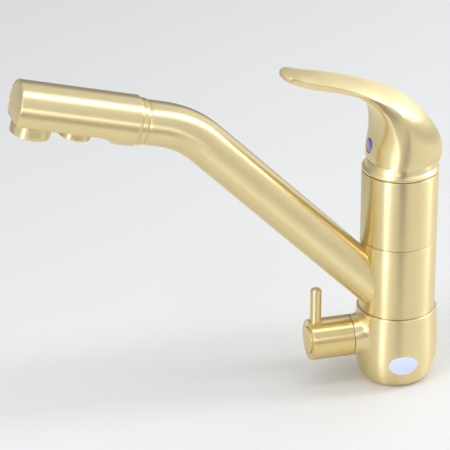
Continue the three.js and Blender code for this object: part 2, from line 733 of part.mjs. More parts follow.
function addValve(fixed, moving) {
  const sealTop = headworkStart + valveSealThickness;
  const discFoot = sealTop + seam;
  const discTop = discFoot + discThickness;
  const movingFoot = discTop + seam;
  const spindleFoot = movingFoot + discThickness + seam;
  const seatRadius = discRadius - seam;
  const way = rod(valveWay, headworkStart - 1, discTop + seam / 2, coarse);
  const pierced = (low, high) => rod(seatRadius, low, high)
    .subtract(movedTo(way, [valveWayOffset, 0]))
    .subtract(movedTo(way, [-valveWayOffset, 0]));
  add(fixed, 'valve_seat_seal', pierced(headworkStart, sealTop), rubber);
  add(fixed, 'valve_fixed_disc', pierced(discFoot, discTop), ceramic);
  const windowReach = valveWayOffset + valveWay * 0.7;
  const windowHalf = valveWay * 0.74;
  const windowTop = movingFoot + discThickness / 2;
  const window = box([-windowReach, -windowHalf, movingFoot - 1], [windowReach, windowHalf, windowTop]);
  const disc = rod(seatRadius - runningGap, movingFoot, movingFoot + discThickness);
  const bodyFoot = spigotRadius + seam;
  const discRoom = discRadius + 0.2;
  const flangeTop = spindleFoot + spindleFlange;
  const shoulder = bossLength + headworkShoulder;
  const headwork = turned([
    [discRoom, bodyFoot], [headworkRadius, bodyFoot], [headworkRadius, shoulder],
    [headworkNose, shoulder], [headworkNose, headworkEnd], [spindleRadius + runningGap, headworkEnd],
    [spindleRadius + runningGap, flangeTop + runningGap], [discRoom, flangeTop + runningGap],
  ], medium);
  add(fixed, 'valve_headwork', headwork, rawBrass);
  const groove = spindleFoot + spindleSealRise;
  const flangeRadius = discRadius - 2 * seam;
  const spindle = turned([
    [0, spindleFoot], [flangeRadius, spindleFoot], [flangeRadius, flangeTop],
    [spindleRadius, flangeTop], [spindleRadius, groove], [spindleRadius - 1, groove],
    [spindleRadius - 1, groove + spindleSeal], [spindleRadius, groove + spindleSeal],
    [spindleRadius, spindleEnd], [0, spindleEnd],
  ], coarse);
  const screwHole = rod(knobScrewShank + seam, spindleEnd - knobScrewLength - seam, spindleEnd + 1, coarse);
  add(moving, 'valve_moving_disc', disc.subtract(window), ceramic);
  add(moving, 'valve_spindle', spindle.subtract(screwHole), rawBrass);
  const sealRing = roundRing(spindleRadius - 0.1, 0.9, groove + spindleSeal / 2, coarse);
  add(moving, 'valve_spindle_seal', sealRing, rubber);
  addKnob(moving);
}

function addKnob(moving) {
  const capPocket = knobFace - knobCapThickness;
  const wide = headworkRadius + 2 * seam;
  const narrow = headworkNose + 1;
  const step = bossLength + headworkShoulder + runningGap;
  const knob = turned([
    [spindleRadius + seam, knobWebFoot], [narrow, knobWebFoot], [narrow, step], [wide, step],
    [wide, knobFoot], [valveRadius - knobEdge / 2, knobFoot], [valveRadius, knobFoot + knobEdge / 2],
    [valveRadius, knobFace - knobEdge], [valveRadius - knobEdge, knobFace], [knobCapRadius + seam, knobFace],
    [knobCapRadius + seam, capPocket - seam], [spindleRadius + seam, capPocket - seam],
  ], fine);
  const pinAlong = knobFace - pinLeverInset;
  const pinFoot = valveRadius - pinLeverSeat;
  const pinSocket = rod(pinLeverRadius + seam, pinFoot - seam, valveRadius + 5, coarse);
  add(moving, 'knob_sleeve', knob.subtract(placed(pinSocket, [0, 90, 0], [0, 0, pinAlong])), satinGold);
  const tipSide = [pinLeverRadius - pinLeverTipRound * 0.3, pinLeverReach - pinLeverTipRound * 0.4];
  const pin = turned([
    [0, pinFoot], [pinLeverRadius, pinFoot], [pinLeverRadius, pinLeverReach - pinLeverTipRound],
    tipSide, [pinLeverRadius - pinLeverTipRound, pinLeverReach], [0, pinLeverReach],
  ], coarse);
  add(moving, 'pin_lever', placed(pin, [0, 90, 0], [0, 0, pinAlong]), satinGold);
  const screwHead = spindleEnd + seam;
  const screw = rod(knobScrewShank, spindleEnd - knobScrewLength, screwHead + 1, coarse)
    .add(rod(knobScrewRadius, screwHead, screwHead + knobScrewHead, coarse));
  const slotFloor = screwHead + knobScrewHead / 2;
  const slot = box([-screwSlot / 2, -knobCapRadius, slotFloor], [screwSlot / 2, knobCapRadius, knobFace]);
  add(moving, 'knob_screw', screw.subtract(slot), steel);
  const capFace = knobFace + knobCapProud;
  const cap = turned([
    [0, capPocket], [knobCapRadius, capPocket], [knobCapRadius, capFace - knobCapProud / 2],
    [knobCapRadius - knobCapProud, capFace], [0, capFace],
  ], medium);
  add(moving, 'knob_cap', cap, satinGold);
}

// ---- Cartridge, nut and dome cap --------------------------------------------------------------------

const discLevel = seat + seam + cartridgeBaseHeight + seam;
const movingDiscLevel = discLevel + cartridgeDiscThickness + seam;
const carrierLevel = movingDiscLevel + cartridgeDiscThickness + seam;
const turretLevel = carrierLevel + carrierHeight + seam;
const housingTop = turretLevel + turretFlange + seam + housingWall;
const nutFoot = housingTop + seam;
const ballLevel = carrierLevel + pocketFloor + seam + stemBallRadius;
const pivotLevel = rim + pivotRise;

const cartridgePorts = { hot: [0, portCircle], cold: [0, -portCircle], mixed: [mixedPort, 0] };

function addCartridge(fixed, turning, tilting, sliding) {
  let foot = rod(cartridgeRadius, seat + seam, seat + seam + cartridgeBaseHeight, fine);
  let fixedDisc = rod(cartridgeDiscRadius, discLevel, discLevel + cartridgeDiscThickness, medium);
  for (const [name, place] of Object.entries(cartridgePorts)) {
    const port = movedTo(rod(riserRadius, seat, carrierLevel, coarse), place);
    const sealTop = seat + seam + portSealHeight;
    const pocket = rod(portSealRadius + sealGap, seat, sealTop + sealGap, coarse);
    foot = foot.subtract(port).subtract(movedTo(pocket, place));
    fixedDisc = fixedDisc.subtract(port);
    const portSeal = ring(portSealRadius, portSealBore, seat + seam, sealTop, coarse);
    add(fixed, `cartridge_seal_${name}`, movedTo(portSeal, place), rubber);
  }
  add(fixed, 'cartridge_base', foot, whitePlastic);
  add(fixed, 'cartridge_fixed_disc', fixedDisc, ceramic);
  const inside = cartridgeRadius - housingWall;
  const housing = turned([
    [inside, discLevel], [cartridgeRadius, discLevel], [cartridgeRadius, housingTop],
    [turretNeckRadius + runningGap, housingTop], [turretNeckRadius + runningGap, housingTop - housingWall],
    [inside, housingTop - housingWall],
  ], fine);
  add(fixed, 'cartridge_housing', housing, greyPlastic);

  const recess = rod(movingDiscRadius * 0.62, movingDiscLevel - 1, movingDiscLevel + 1.4, medium);
  const movingDisc = rod(movingDiscRadius, movingDiscLevel, movingDiscLevel + cartridgeDiscThickness, medium);
  add(sliding, 'cartridge_moving_disc', movingDisc.subtract(recess), ceramic);
  const ballPocket = box([-stemBallRadius - 0.6, -stemBallRadius - 0.5, carrierLevel + pocketFloor],
    [stemBallRadius + 0.6, stemBallRadius + 0.5, carrierLevel + carrierHeight + 1]);
  const carrier = rod(movingDiscRadius, carrierLevel, carrierLevel + carrierHeight, medium);
  add(sliding, 'disc_carrier', carrier.subtract(ballPocket), greyPlastic);

  const turretTop = rim + turretRise;
  const turret = turned([
    [0, turretLevel], [inside - runningGap, turretLevel], [inside - runningGap, turretLevel + turretFlange],
    [turretNeckRadius, turretLevel + turretFlange], [turretNeckRadius, turretTop], [0, turretTop],
  ], medium);
  const half = stemWidth / 2 + runningGap;
  const lean = Math.tan(THREE.MathUtils.degToRad(liftAngle + 2));
  const drop = pivotLevel - turretLevel + 1;
  const lift = turretTop - pivotLevel + 1;
  const slotShape = new THREE.Shape([
    new THREE.Vector2(-half - 0.6 - drop * lean, -drop), new THREE.Vector2(half, -drop),
    new THREE.Vector2(half + 0.6, 0), new THREE.Vector2(half + 0.6 + lift * lean, lift),
    new THREE.Vector2(-half, lift), new THREE.Vector2(-half - 0.6, 0),
  ]);
  const slotGeometry = new THREE.ExtrudeGeometry(slotShape, { depth: 2 * half, bevelEnabled: false });
  slotGeometry.rotateX(Math.PI / 2);
  slotGeometry.translate(0, half, pivotLevel);
  const alongPivot = (radius, half) =>
    placed(rod(radius, -half, half, coarse), [90, 0, 0], [0, 0, pivotLevel]);
  const slotted = turret.subtract(solid(slotGeometry));
  const pinHole = alongPivot(pivotPinRadius + 0.1, turretNeckRadius + 1);
  add(turning, 'cartridge_turret', slotted.subtract(pinHole), whitePlastic);
  add(turning, 'stem_pivot_pin', alongPivot(pivotPinRadius - 0.2, pivotPinLength / 2), steel);

  const stemHalf = stemWidth / 2;
  const shank = box([-stemHalf, -stemHalf, pivotLevel - 3.2], [stemHalf, stemHalf, rim + stemRise]);
  const arm = rod(stemArmRadius, ballLevel, pivotLevel - 3, coarse);
  const ball = turned([
    [0, -stemBallRadius], [stemBallRadius * 0.7, -stemBallRadius * 0.7], [stemBallRadius, 0],
    [stemBallRadius * 0.7, stemBallRadius * 0.7], [0, stemBallRadius],
  ], coarse).translate([0, 0, ballLevel]);
  const eye = alongPivot(pivotPinRadius + 0.15, stemWidth);
  add(tilting, 'cartridge_stem', shank.add(arm).add(ball).subtract(eye), rawBrass);
}

function addNutAndCap(fixed) {
  const nut = turned([
    [turretNeckRadius + 2, nutFoot], [nutRadius, nutFoot], [nutRadius, rim - 0.4],
    [nutCollarRadius, rim - 0.4], [nutCollarRadius, rim + nutRise], [turretNeckRadius + 2, rim + nutRise],
  ], fine);
  add(fixed, 'cartridge_nut', nut, rawBrass);
  const foot = rim + seam;
  const capTop = foot + capHeight;
  const stepRadius = bodyRadius - (bodyRadius - capShoulderRadius) * 0.35;
  const capBore = turretNeckRadius + runningGap + 2 * seam;
  const cap = turned([
    [nutCollarRadius + seam, foot], [bodyRadius - bodyEdge, foot], [bodyRadius, foot + bodyEdge],
    [bodyRadius, foot + capLip], [stepRadius, foot + (capLip + capShoulder) / 2],
    [capShoulderRadius, foot + capShoulder], [capTopRadius, capTop - bodyEdge],
    [capTopRadius - bodyEdge, capTop], [capBore, capTop], [capBore, capTop - capWall],
    [nutCollarRadius + seam, capTop - capWall],
  ], fine);
  add(fixed, 'dome_cap', cap, satinGold);
}

// ---- Lever -----------------------------------------------------------------------------------------

const shellSide = bodyRadius + shellOverhang;

// The shell's top line and its side edge as shares: how far from the body's axis and how high the
// top lies, the same for the edge, then the half width and the thickness. In front they are shares
// of the blade's reach and half width, and over the column of its radius and the shell's half width.
const bladeShares = [
  [1, 1, 0.992, 0.991, 0.2, 0.5],
  [0.982, 1.006, 0.97, 0.988, 0.52, 0.7],
  [0.936, 1.005, 0.931, 0.978, 0.82, 0.85],
  [0.86, 0.991, 0.86, 0.956, 0.96, 0.9],
  [0.763, 0.967, 0.763, 0.933, 1, 0.95],
  [0.585, 0.913, 0.598, 0.878, 1.12, 1],
  [0.407, 0.844, 0.426, 0.809, 1.3, 1],
];
const shoulderShares = [
  [-0.708, 0.766, -0.917, 0.719, 0.74, 1],
  [-0.167, 0.672, -0.542, 0.656, 0.86, 1],
  [0.333, 0.539, -0.292, 0.569, 0.94, 1],
  [0.729, 0.383, -0.15, 0.422, 0.985, 1],
  [1, 0.216, -0.092, 0.247, 1, 0.9],
  [1.096, 0.094, -0.1, 0.109, 1, 0.8],
  [1.067, 0, -0.142, 0, 0.988, 0.55],
];
const stationOf = (reach, width) => ([topX, topZ, edgeX, edgeZ, half, thick]) => ({
  top: [topX * reach, topZ * bladeRise],
  edge: [edgeX * reach, edgeZ * bladeRise],
  half: half * width,
  thick,
});
const shellStations = [
  ...bladeShares.map(stationOf(-bladeReach, bladeHalfWidth)),
  ...shoulderShares.map(stationOf(bodyRadius, shellSide)),
];

function shellSection(station, inward) {
  const arcSteps = 10;
  const outer = [];
  const inner = [];
  const depth = shellThickness * station.thick;
  for (let i = 0; i <= arcSteps; i += 1) {
    const turn = Math.PI * (i / arcSteps - 0.5);
    const share = Math.cos(turn);
    const x = station.edge[0] + (station.top[0] - station.edge[0]) * share;
    const z = station.edge[1] + (station.top[1] - station.edge[1]) * share;
    outer.push(new THREE.Vector3(x, station.half * Math.sin(turn), z));
    const innerHalf = station.half - Math.min(0.8, station.half * 0.1);
    inner.push(new THREE.Vector3(x + inward[0] * depth, innerHalf * Math.sin(turn), z + inward[1] * depth));
  }
  return [...outer, ...inner.reverse()];
}

function makeShell() {
  const inwardAt = (i) => {
    const before = shellStations[Math.max(i - 1, 0)].top;
    const after = shellStations[Math.min(i + 1, shellStations.length - 1)].top;
    const [dx, dz] = [after[0] - before[0], after[1] - before[1]];
    const length = Math.hypot(dx, dz);
    return [dz / length, -dx / length];
  };
  const sections = shellStations.map((station, i) => {
    const last = i === shellStations.length - 1;
    return shellSection(station, last ? [-1, 0] : inwardAt(i));
  });
  return lofted(sections);
}

// Neck that carries the blade, as level slices: height as a share of the blade's rise, then front,
// back and half width as shares of the skirt's radius.
const neckShares = [
  [0, -1, 1, 1],
  [0.102, -1.009, 0.958, 0.995],
  [0.195, -0.963, 0.888, 0.981],
  [0.289, -0.907, 0.748, 0.958],
  [0.398, -0.879, 0.514, 0.916],
  [0.492, -0.916, 0.187, 0.86],
  [0.57, -1.028, -0.14, 0.794],
  [0.633, -1.215, -0.374, 0.729],
  [0.695, -1.495, -0.607, 0.664],
  [0.758, -1.822, -0.935, 0.607],
  [0.813, -2.075, -1.308, 0.551],
];

function makeNeck() {
  const sides = 24;
  const sections = neckShares.map(([height, front, back, half]) => Array.from({ length: sides }, (_, k) => {
    const turn = (2 * Math.PI * k) / sides;
    const x = (front + back) / 2 + ((back - front) / 2) * Math.cos(turn);
    return new THREE.Vector3(x * skirtRadius, half * skirtRadius * Math.sin(turn), height * bladeRise);
  }));
  return lofted(sections);
}

function addLever(parent) {
  const lever = new THREE.Group();
  lever.position.z = leverFoot;
  parent.add(lever);
  const skirtBore = rod(skirtRadius - skirtWall, -1, skirtCeiling, fine);
  const rearRadius = bodyRadius - shellInset;
  const rearRoom = rod(rearRadius, -1, socketCeiling, fine)
    .intersect(box([-0.6, -2 * bodyRadius, -1], [2 * bodyRadius, 2 * bodyRadius, socketCeiling + 1]))
    .subtract(rod(stemBoss, skirtCeiling, socketCeiling + 2, coarse));
  const half = stemWidth / 2 + seam;
  const stemTop = rim + stemRise - leverFoot;
  const socket = box([-half, -half, -1], [half, half, stemTop + seam]);
  const plugFace = skirtRadius - plugSunk;
  const plugBack = plugFace - plugThickness;
  const plugHole = rodAlongX(plugRadius + seam, plugBack - seam, skirtRadius + 3, plugRise, medium);
  const grubHole = rodAlongX(grubRadius + seam, half - 1, skirtRadius, plugRise, coarse);
  const handle = makeNeck().add(makeShell())
    .subtract(skirtBore).subtract(rearRoom).subtract(socket).subtract(plugHole).subtract(grubHole);
  add(lever, 'lever_handle', handle, satinGold);
  const plug = turned([
    [0, plugBack], [plugRadius, plugBack], [plugRadius, plugFace - 0.5], [plugRadius - 0.6, plugFace],
    [0, plugFace],
  ], medium);
  add(lever, 'hot_cold_mark', placed(plug, [0, -90, 0], [0, 0, plugRise]), markBlue);
  const grubStart = stemWidth / 2 + seam;
  const grubEnd = grubStart + grubLength;
  const grub = rodAlongX(grubRadius, grubStart, grubEnd, plugRise, coarse);
  const key = rodAlongX(hexKeyRadius, grubEnd - hexKeyDepth, grubEnd + 1, plugRise, hexagon);
  add(lever, 'lever_grub_screw', grub.subtract(key), steel);
}

// ---- The tap -----------------------------------------------------------------------------------------

const tap = new THREE.Group();
const fixed = new THREE.Group();
const spout = new THREE.Group();
const turning = new THREE.Group();
const tilting = new THREE.Group();
const sliding = new THREE.Group();
const valveFixed = new THREE.Group();
const valveMoving = new THREE.Group();
for (const group of [valveFixed, valveMoving]) {
  group.position.z = valveHeight;
  group.rotation.y = -Math.PI / 2;
}
tap.add(fixed, spout, turning, tilting, sliding, valveFixed, valveMoving);

addBase(fixed);
addSpout(spout);
addCollarSeals(fixed);
addSpoutHead(spout);
addValve(valveFixed, valveMoving);
addCartridge(fixed, turning, tilting, sliding);
addNutAndCap(fixed);
addLever(tilting);

export default tap;
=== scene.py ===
import json
import math

import bmesh
import bpy
from mathutils import Matrix, Vector


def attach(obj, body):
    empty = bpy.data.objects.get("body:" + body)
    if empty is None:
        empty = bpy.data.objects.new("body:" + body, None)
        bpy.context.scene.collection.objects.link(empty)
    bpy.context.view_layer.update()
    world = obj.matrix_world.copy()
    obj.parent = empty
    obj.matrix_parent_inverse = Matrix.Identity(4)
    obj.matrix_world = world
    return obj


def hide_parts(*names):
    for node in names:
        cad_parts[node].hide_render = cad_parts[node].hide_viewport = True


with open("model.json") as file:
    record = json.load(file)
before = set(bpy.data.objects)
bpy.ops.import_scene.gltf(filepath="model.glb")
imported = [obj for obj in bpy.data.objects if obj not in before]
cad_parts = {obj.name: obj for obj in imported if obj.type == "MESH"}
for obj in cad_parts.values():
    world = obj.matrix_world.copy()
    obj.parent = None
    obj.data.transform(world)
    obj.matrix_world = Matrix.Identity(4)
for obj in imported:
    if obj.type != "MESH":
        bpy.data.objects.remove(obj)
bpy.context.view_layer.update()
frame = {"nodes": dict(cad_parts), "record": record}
nodes = frame["nodes"]
print("frame loaded,", len(nodes), "nodes")

mm = 0.001  # the tap's sizes are in millimetres, and its meshes are made in metres

# the tap's own driving sizes, as the frame has them
tap = {
    "rim": 143.1, "collarFoot": 49.3, "collarTop": 96.3, "headFoot": 96.6,
    "bodyRadius": 24.0, "valveHeight": 31.2, "leverFoot": 151.7,
    "spoutRoot": 50.0, "rise": math.radians(45), "tilt": math.radians(14.5),
    "firstLeg": 193.5, "secondLeg": 107.3, "bendRadius": 58.0,
}


# camera, in metres
cameraSettings = {
    "azimuth": math.radians(-15.78), "elevation": math.radians(25.657), "distance": 1.7493,
    "aim": Vector((-0.1044, 0.0295, 0.1040)), "lens": 224, "sensor": 36,
}


def towards(azimuth, elevation):
    # unit vector from the tap: azimuth 0 is the front, -Y, and 90 is +X
    return Vector((
        math.sin(azimuth) * math.cos(elevation),
        -math.cos(azimuth) * math.cos(elevation),
        math.sin(elevation),
    ))


def makeCamera():
    back = towards(cameraSettings["azimuth"], cameraSettings["elevation"])
    data = bpy.data.cameras.new("photoCamera")
    data.lens = cameraSettings["lens"]
    data.sensor_width = cameraSettings["sensor"]
    data.clip_end = 50
    camera = bpy.data.objects.new("photoCamera", data)
    camera.location = cameraSettings["aim"] + back * cameraSettings["distance"]
    camera.rotation_euler = back.to_track_quat("Z", "Y").to_euler()
    bpy.context.scene.collection.objects.link(camera)
    bpy.context.scene.camera = camera


makeCamera()


# shapes
def softOutline(corners, steps=4):
    # corners are (radius, height, fillet); each fillet becomes an arc of that radius
    points = []
    last = len(corners) - 1
    for i, (r, z, fillet) in enumerate(corners):
        here = Vector((r, z))
        if fillet <= 0 or i in (0, last):
            points.append(here)
            continue
        before = (Vector(corners[i - 1][:2]) - here).normalized()
        after = (Vector(corners[i + 1][:2]) - here).normalized()
        half = before.angle(after) / 2
        start = here + before * (fillet / math.tan(half))
        end = here + after * (fillet / math.tan(half))
        centre = here + (before + after).normalized() * (fillet / math.sin(half))
        turn = math.pi - 2 * half
        sweep = math.copysign(turn, (start - centre).cross(end - centre))
        for k in range(steps + 1):
            angle = sweep * k / steps
            arm = start - centre
            points.append(centre + Vector((
                arm.x * math.cos(angle) - arm.y * math.sin(angle),
                arm.x * math.sin(angle) + arm.y * math.cos(angle),
            )))
    return points


def saveMesh(bm, mesh, sharpAngle):
    # smooth faces, with sharp edges kept where they turn by more than an angle
    for face in bm.faces:
        face.smooth = True
    for edge in bm.edges:
        edge.smooth = edge.calc_face_angle(0) < math.radians(sharpAngle)
    bm.to_mesh(mesh)
    bm.free()


def finishMesh(name, bm, sharpAngle):
    bmesh.ops.recalc_face_normals(bm, faces=bm.faces)
    mesh = bpy.data.meshes.new(name)
    saveMesh(bm, mesh, sharpAngle)
    piece = bpy.data.objects.new(name, mesh)
    bpy.context.scene.collection.objects.link(piece)
    return piece


def skin(name, rows, matrix=None, closedAlong=False, sharpAngle=34):
    # closed surface over rows of points; U runs round each row and V from row to row, in mm
    bm = bmesh.new()
    uv = bm.loops.layers.uv.new("brushLines")
    count = len(rows[0])
    ringed = [rows[-1]] + rows if closedAlong else rows
    along = [0.0]
    for before, after in zip(ringed, ringed[1:]):
        along.append(along[-1] + sum((a - b).length for a, b in zip(before, after)) / count)
    widest = max(sum((a - b).length for a, b in zip(row, row[1:])) for row in rows)
    place = matrix or Matrix.Identity(4)
    corners = [[bm.verts.new((place @ p) * mm) for p in row] for row in rows]
    rings = [corners[-1]] + corners if closedAlong else corners
    for r in range(len(rings) - 1):
        for i in range(count):
            j = (i + 1) % count
            face = bm.faces.new((rings[r][i], rings[r][j], rings[r + 1][j], rings[r + 1][i]))
            spots = ((i, r), (i + 1, r), (i + 1, r + 1), (i, r + 1))
            for loop, (column, row) in zip(face.loops, spots):
                loop[uv].uv = (column / count * widest, along[row])
    if not closedAlong:
        for ring, row in ((corners[0], rows[0]), (corners[-1], rows[-1])):
            face = bm.faces.new(ring)
            for loop, p in zip(face.loops, row):
                loop[uv].uv = (p.x + p.z, p.y)
    return finishMesh(name, bm, sharpAngle)


def roundAngles(sides):
    return [2 * math.pi * k / sides for k in range(sides)]


def turned(name, outline, sides=96, matrix=None, closedAlong=False):
    rows = [[Vector((r * math.cos(a), r * math.sin(a), z)) for a in roundAngles(sides)] for r, z in outline]
    return skin(name, rows, matrix, closedAlong)


def drill(piece, radius, start, end, sides=48, matrix=None, sharpAngle=34):
    # cuts a round hole between two heights
    combine(piece, turned("drill", [(radius, start), (radius, end)], sides, matrix), "DIFFERENCE", sharpAngle)


def combine(piece, other, operation, sharpAngle=34):
    # joins or cuts with a modifier, and keeps its result as the mesh
    modifier = piece.modifiers.new("combine", "BOOLEAN")
    modifier.operation = operation
    modifier.solver = "EXACT"
    modifier.object = other
    bpy.context.view_layer.update()
    shaped = piece.evaluated_get(bpy.context.evaluated_depsgraph_get())
    mesh = bpy.data.meshes.new_from_object(shaped)
    piece.modifiers.clear()
    piece.data = mesh
    bpy.data.objects.remove(other)
    bm = bmesh.new()
    bm.from_mesh(mesh)
    saveMesh(bm, mesh, sharpAngle)
    return piece


def bent(start, corner, end, t):
    # place on the curve that leaves start towards corner and arrives at end
    return start * (1 - t) ** 2 + corner * 2 * t * (1 - t) + end * t * t


def softMin(a, b, blend):
    # lower of two heights, with the corner between them rounded over a width
    share = max(blend - abs(a - b), 0) / blend
    return min(a, b) - share * share * blend / 4


alongX = Matrix.Rotation(math.pi / 2, 4, "Y")   # turned along local X


def facingFront(height):
    # turned about a line that points forward, along -X, at a height on the column
    return Matrix.Translation((0, 0, height)) @ Matrix.Rotation(-math.pi / 2, 4, "Y")


valvePlace = facingFront(tap["valveHeight"])


def spoutDirection(angle):
    return Vector((-math.cos(angle), 0, math.sin(angle)))


def spoutSquare(angle):
    # upwards, square to the spout
    return Vector((math.sin(angle), 0, math.cos(angle)))


spoutRoot = Vector((0, 0, tap["spoutRoot"]))
spoutCorner = spoutRoot + spoutDirection(tap["rise"]) * tap["firstLeg"]
headEnd = spoutCorner + spoutDirection(tap["tilt"]) * tap["secondLeg"]
headPlace = Matrix.Translation(headEnd) @ Matrix.Rotation(tap["tilt"], 4, "Y")


# shared effects
def newGroup(name, outputs, **inputs):
    # takes coordinates and numbers, and gives numbers
    group = bpy.data.node_groups.new(name, "ShaderNodeTree")
    group.interface.new_socket(name="Coordinates", in_out="INPUT", socket_type="NodeSocketVector")
    for label, value in inputs.items():
        label = label.replace("_", " ")
        socket = group.interface.new_socket(name=label, in_out="INPUT", socket_type="NodeSocketFloat")
        socket.default_value = value
    for label in outputs:
        group.interface.new_socket(name=label, in_out="OUTPUT", socket_type="NodeSocketFloat")
    return group, group.nodes.new("NodeGroupInput"), group.nodes.new("NodeGroupOutput")


def addMath(tree, operation, *values, clamp=False):
    node = tree.nodes.new("ShaderNodeMath")
    node.operation = operation
    node.use_clamp = clamp
    for i, value in enumerate(values):
        if isinstance(value, (int, float)):
            node.inputs[i].default_value = value
        else:
            tree.links.new(value, node.inputs[i])
    return node.outputs[0]


def splitAxes(tree, vector):
    node = tree.nodes.new("ShaderNodeSeparateXYZ")
    tree.links.new(vector, node.inputs[0])
    return node.outputs


def addNoise(tree, vector, scale, detail=2.0, roughness=0.5):
    node = tree.nodes.new("ShaderNodeTexNoise")
    node.inputs["Scale"].default_value = scale
    node.inputs["Detail"].default_value = detail
    node.inputs["Roughness"].default_value = roughness
    tree.links.new(vector, node.inputs["Vector"])
    return node.outputs["Fac"]


def makeBrushLines():
    # long thin lines that run along U, from a fine and a coarse grain
    group, start, end = newGroup(
        "brushLinesEffect", ("Height", "Streaks"), Line_Length=14.0, Line_Width=0.16,
    )
    u, v, _ = splitAxes(group, start.outputs["Coordinates"])
    long = addMath(group, "DIVIDE", u, start.outputs["Line Length"])
    across = addMath(group, "DIVIDE", v, start.outputs["Line Width"])
    join = group.nodes.new("ShaderNodeCombineXYZ")
    group.links.new(long, join.inputs[0])
    group.links.new(across, join.inputs[1])
    fine = addNoise(group, join.outputs[0], 1.0, 2.0)
    coarse = addNoise(group, join.outputs[0], 0.22, 3.0, 0.6)
    fineShare = addMath(group, "MULTIPLY", fine, 0.6)
    height = addMath(group, "MULTIPLY_ADD", coarse, 0.4, fineShare)
    group.links.new(height, end.inputs["Height"])
    group.links.new(coarse, end.inputs["Streaks"])
    return group


def makeSatinMottle():
    # cloudy unevenness of the plating, 0 to 1 round a half
    group, start, end = newGroup("satinMottleEffect", ("Mottle", "Grain"), Patch_Scale=60.0)
    scaled = group.nodes.new("ShaderNodeVectorMath")
    scaled.operation = "SCALE"
    group.links.new(start.outputs["Coordinates"], scaled.inputs[0])
    group.links.new(start.outputs["Patch Scale"], scaled.inputs["Scale"])
    mottle = addNoise(group, scaled.outputs[0], 1.0, 3.0, 0.55)
    grain = addNoise(group, scaled.outputs[0], 55.0, 2.0, 0.6)
    group.links.new(mottle, end.inputs["Mottle"])
    group.links.new(grain, end.inputs["Grain"])
    return group


def makeEdgeRub():
    # brighter, smoother metal where edges are handled
    group, start, end = newGroup("edgeRubEffect", ("Edge",), Reach=0.0007, Strength=6.0)
    bevel = group.nodes.new("ShaderNodeBevel")
    bevel.samples = 4
    group.links.new(start.outputs["Reach"], bevel.inputs["Radius"])
    surface = group.nodes.new("ShaderNodeNewGeometry")
    dot = group.nodes.new("ShaderNodeVectorMath")
    dot.operation = "DOT_PRODUCT"
    group.links.new(bevel.outputs[0], dot.inputs[0])
    group.links.new(surface.outputs["Normal"], dot.inputs[1])
    turn = addMath(group, "SUBTRACT", 1.0, dot.outputs["Value"])
    strong = addMath(group, "MULTIPLY", turn, start.outputs["Strength"], clamp=True)
    patchy = addNoise(group, start.outputs["Coordinates"], 420.0, 2.0)
    broken = addMath(group, "MULTIPLY", strong, addMath(group, "ADD", patchy, 0.45), clamp=True)
    group.links.new(broken, end.inputs["Edge"])
    return group


def makeHandlingMarks():
    # faint wiped smears that only change the gloss
    group, start, end = newGroup("handlingMarksEffect", ("Marks",))
    stretch = group.nodes.new("ShaderNodeMapping")
    stretch.inputs["Scale"].default_value = (90, 60, 25)
    stretch.inputs["Rotation"].default_value = (0.4, 0.3, 0.7)
    group.links.new(start.outputs["Coordinates"], stretch.inputs["Vector"])
    smear = addNoise(group, stretch.outputs[0], 1.0, 4.0, 0.65)
    raised = addMath(group, "SUBTRACT", smear, 0.52)
    group.links.new(addMath(group, "MULTIPLY", raised, 4.0, clamp=True), end.inputs["Marks"])
    return group


effects = {
    "brush": makeBrushLines(),
    "mottle": makeSatinMottle(),
    "edge": makeEdgeRub(),
    "marks": makeHandlingMarks(),
}
print("shared effects made")


def addEffect(tree, effect, coordinates, **values):
    node = tree.nodes.new("ShaderNodeGroup")
    node.node_tree = effects[effect]
    tree.links.new(coordinates, node.inputs["Coordinates"])
    for label, value in values.items():
        node.inputs[label.replace("_", " ")].default_value = value
    return node


def newMaterial(name):
    material = bpy.data.materials.new(name)
    material.use_nodes = True
    tree = material.node_tree
    tree.nodes.clear()
    output = tree.nodes.new("ShaderNodeOutputMaterial")
    shader = tree.nodes.new("ShaderNodeBsdfPrincipled")
    tree.links.new(shader.outputs["BSDF"], output.inputs["Surface"])
    place = tree.nodes.new("ShaderNodeTexCoord")
    return material, tree, shader, place.outputs["Object"]


def mixColour(tree, share, low, high):
    node = tree.nodes.new("ShaderNodeMix")
    node.data_type = "RGBA"
    tree.links.new(share, node.inputs["Factor"])
    for socket, value in (("A", low), ("B", high)):
        target = [s for s in node.inputs if s.name == socket and s.type == "RGBA"][0]
        if isinstance(value, tuple):
            target.default_value = (*value, 1)
        else:
            tree.links.new(value, target)
    return [s for s in node.outputs if s.type == "RGBA"][0]


def addGloss(tree, shader, mottle, spread, least):
    gloss = addMath(tree, "MULTIPLY_ADD", mottle.outputs["Mottle"], spread, least)
    tree.links.new(gloss, shader.inputs["Roughness"])


def addBump(tree, shader, height, strength, distance):
    bump = tree.nodes.new("ShaderNodeBump")
    bump.inputs["Strength"].default_value = strength
    bump.inputs["Distance"].default_value = distance
    tree.links.new(height, bump.inputs["Height"])
    tree.links.new(bump.outputs[0], shader.inputs["Normal"])


# base colours of the plating; the filter valve's darker, more saturated copy is painted shade, for the spout
# tube's shade over the knob
paleGold = {"deep": (0.80, 0.66, 0.335), "light": (0.93, 0.78, 0.43), "edge": (0.96, 0.86, 0.55)}
shadedKnobGold = {"deep": (0.75, 0.575, 0.235), "light": (0.90, 0.72, 0.345), "edge": (0.95, 0.81, 0.46)}


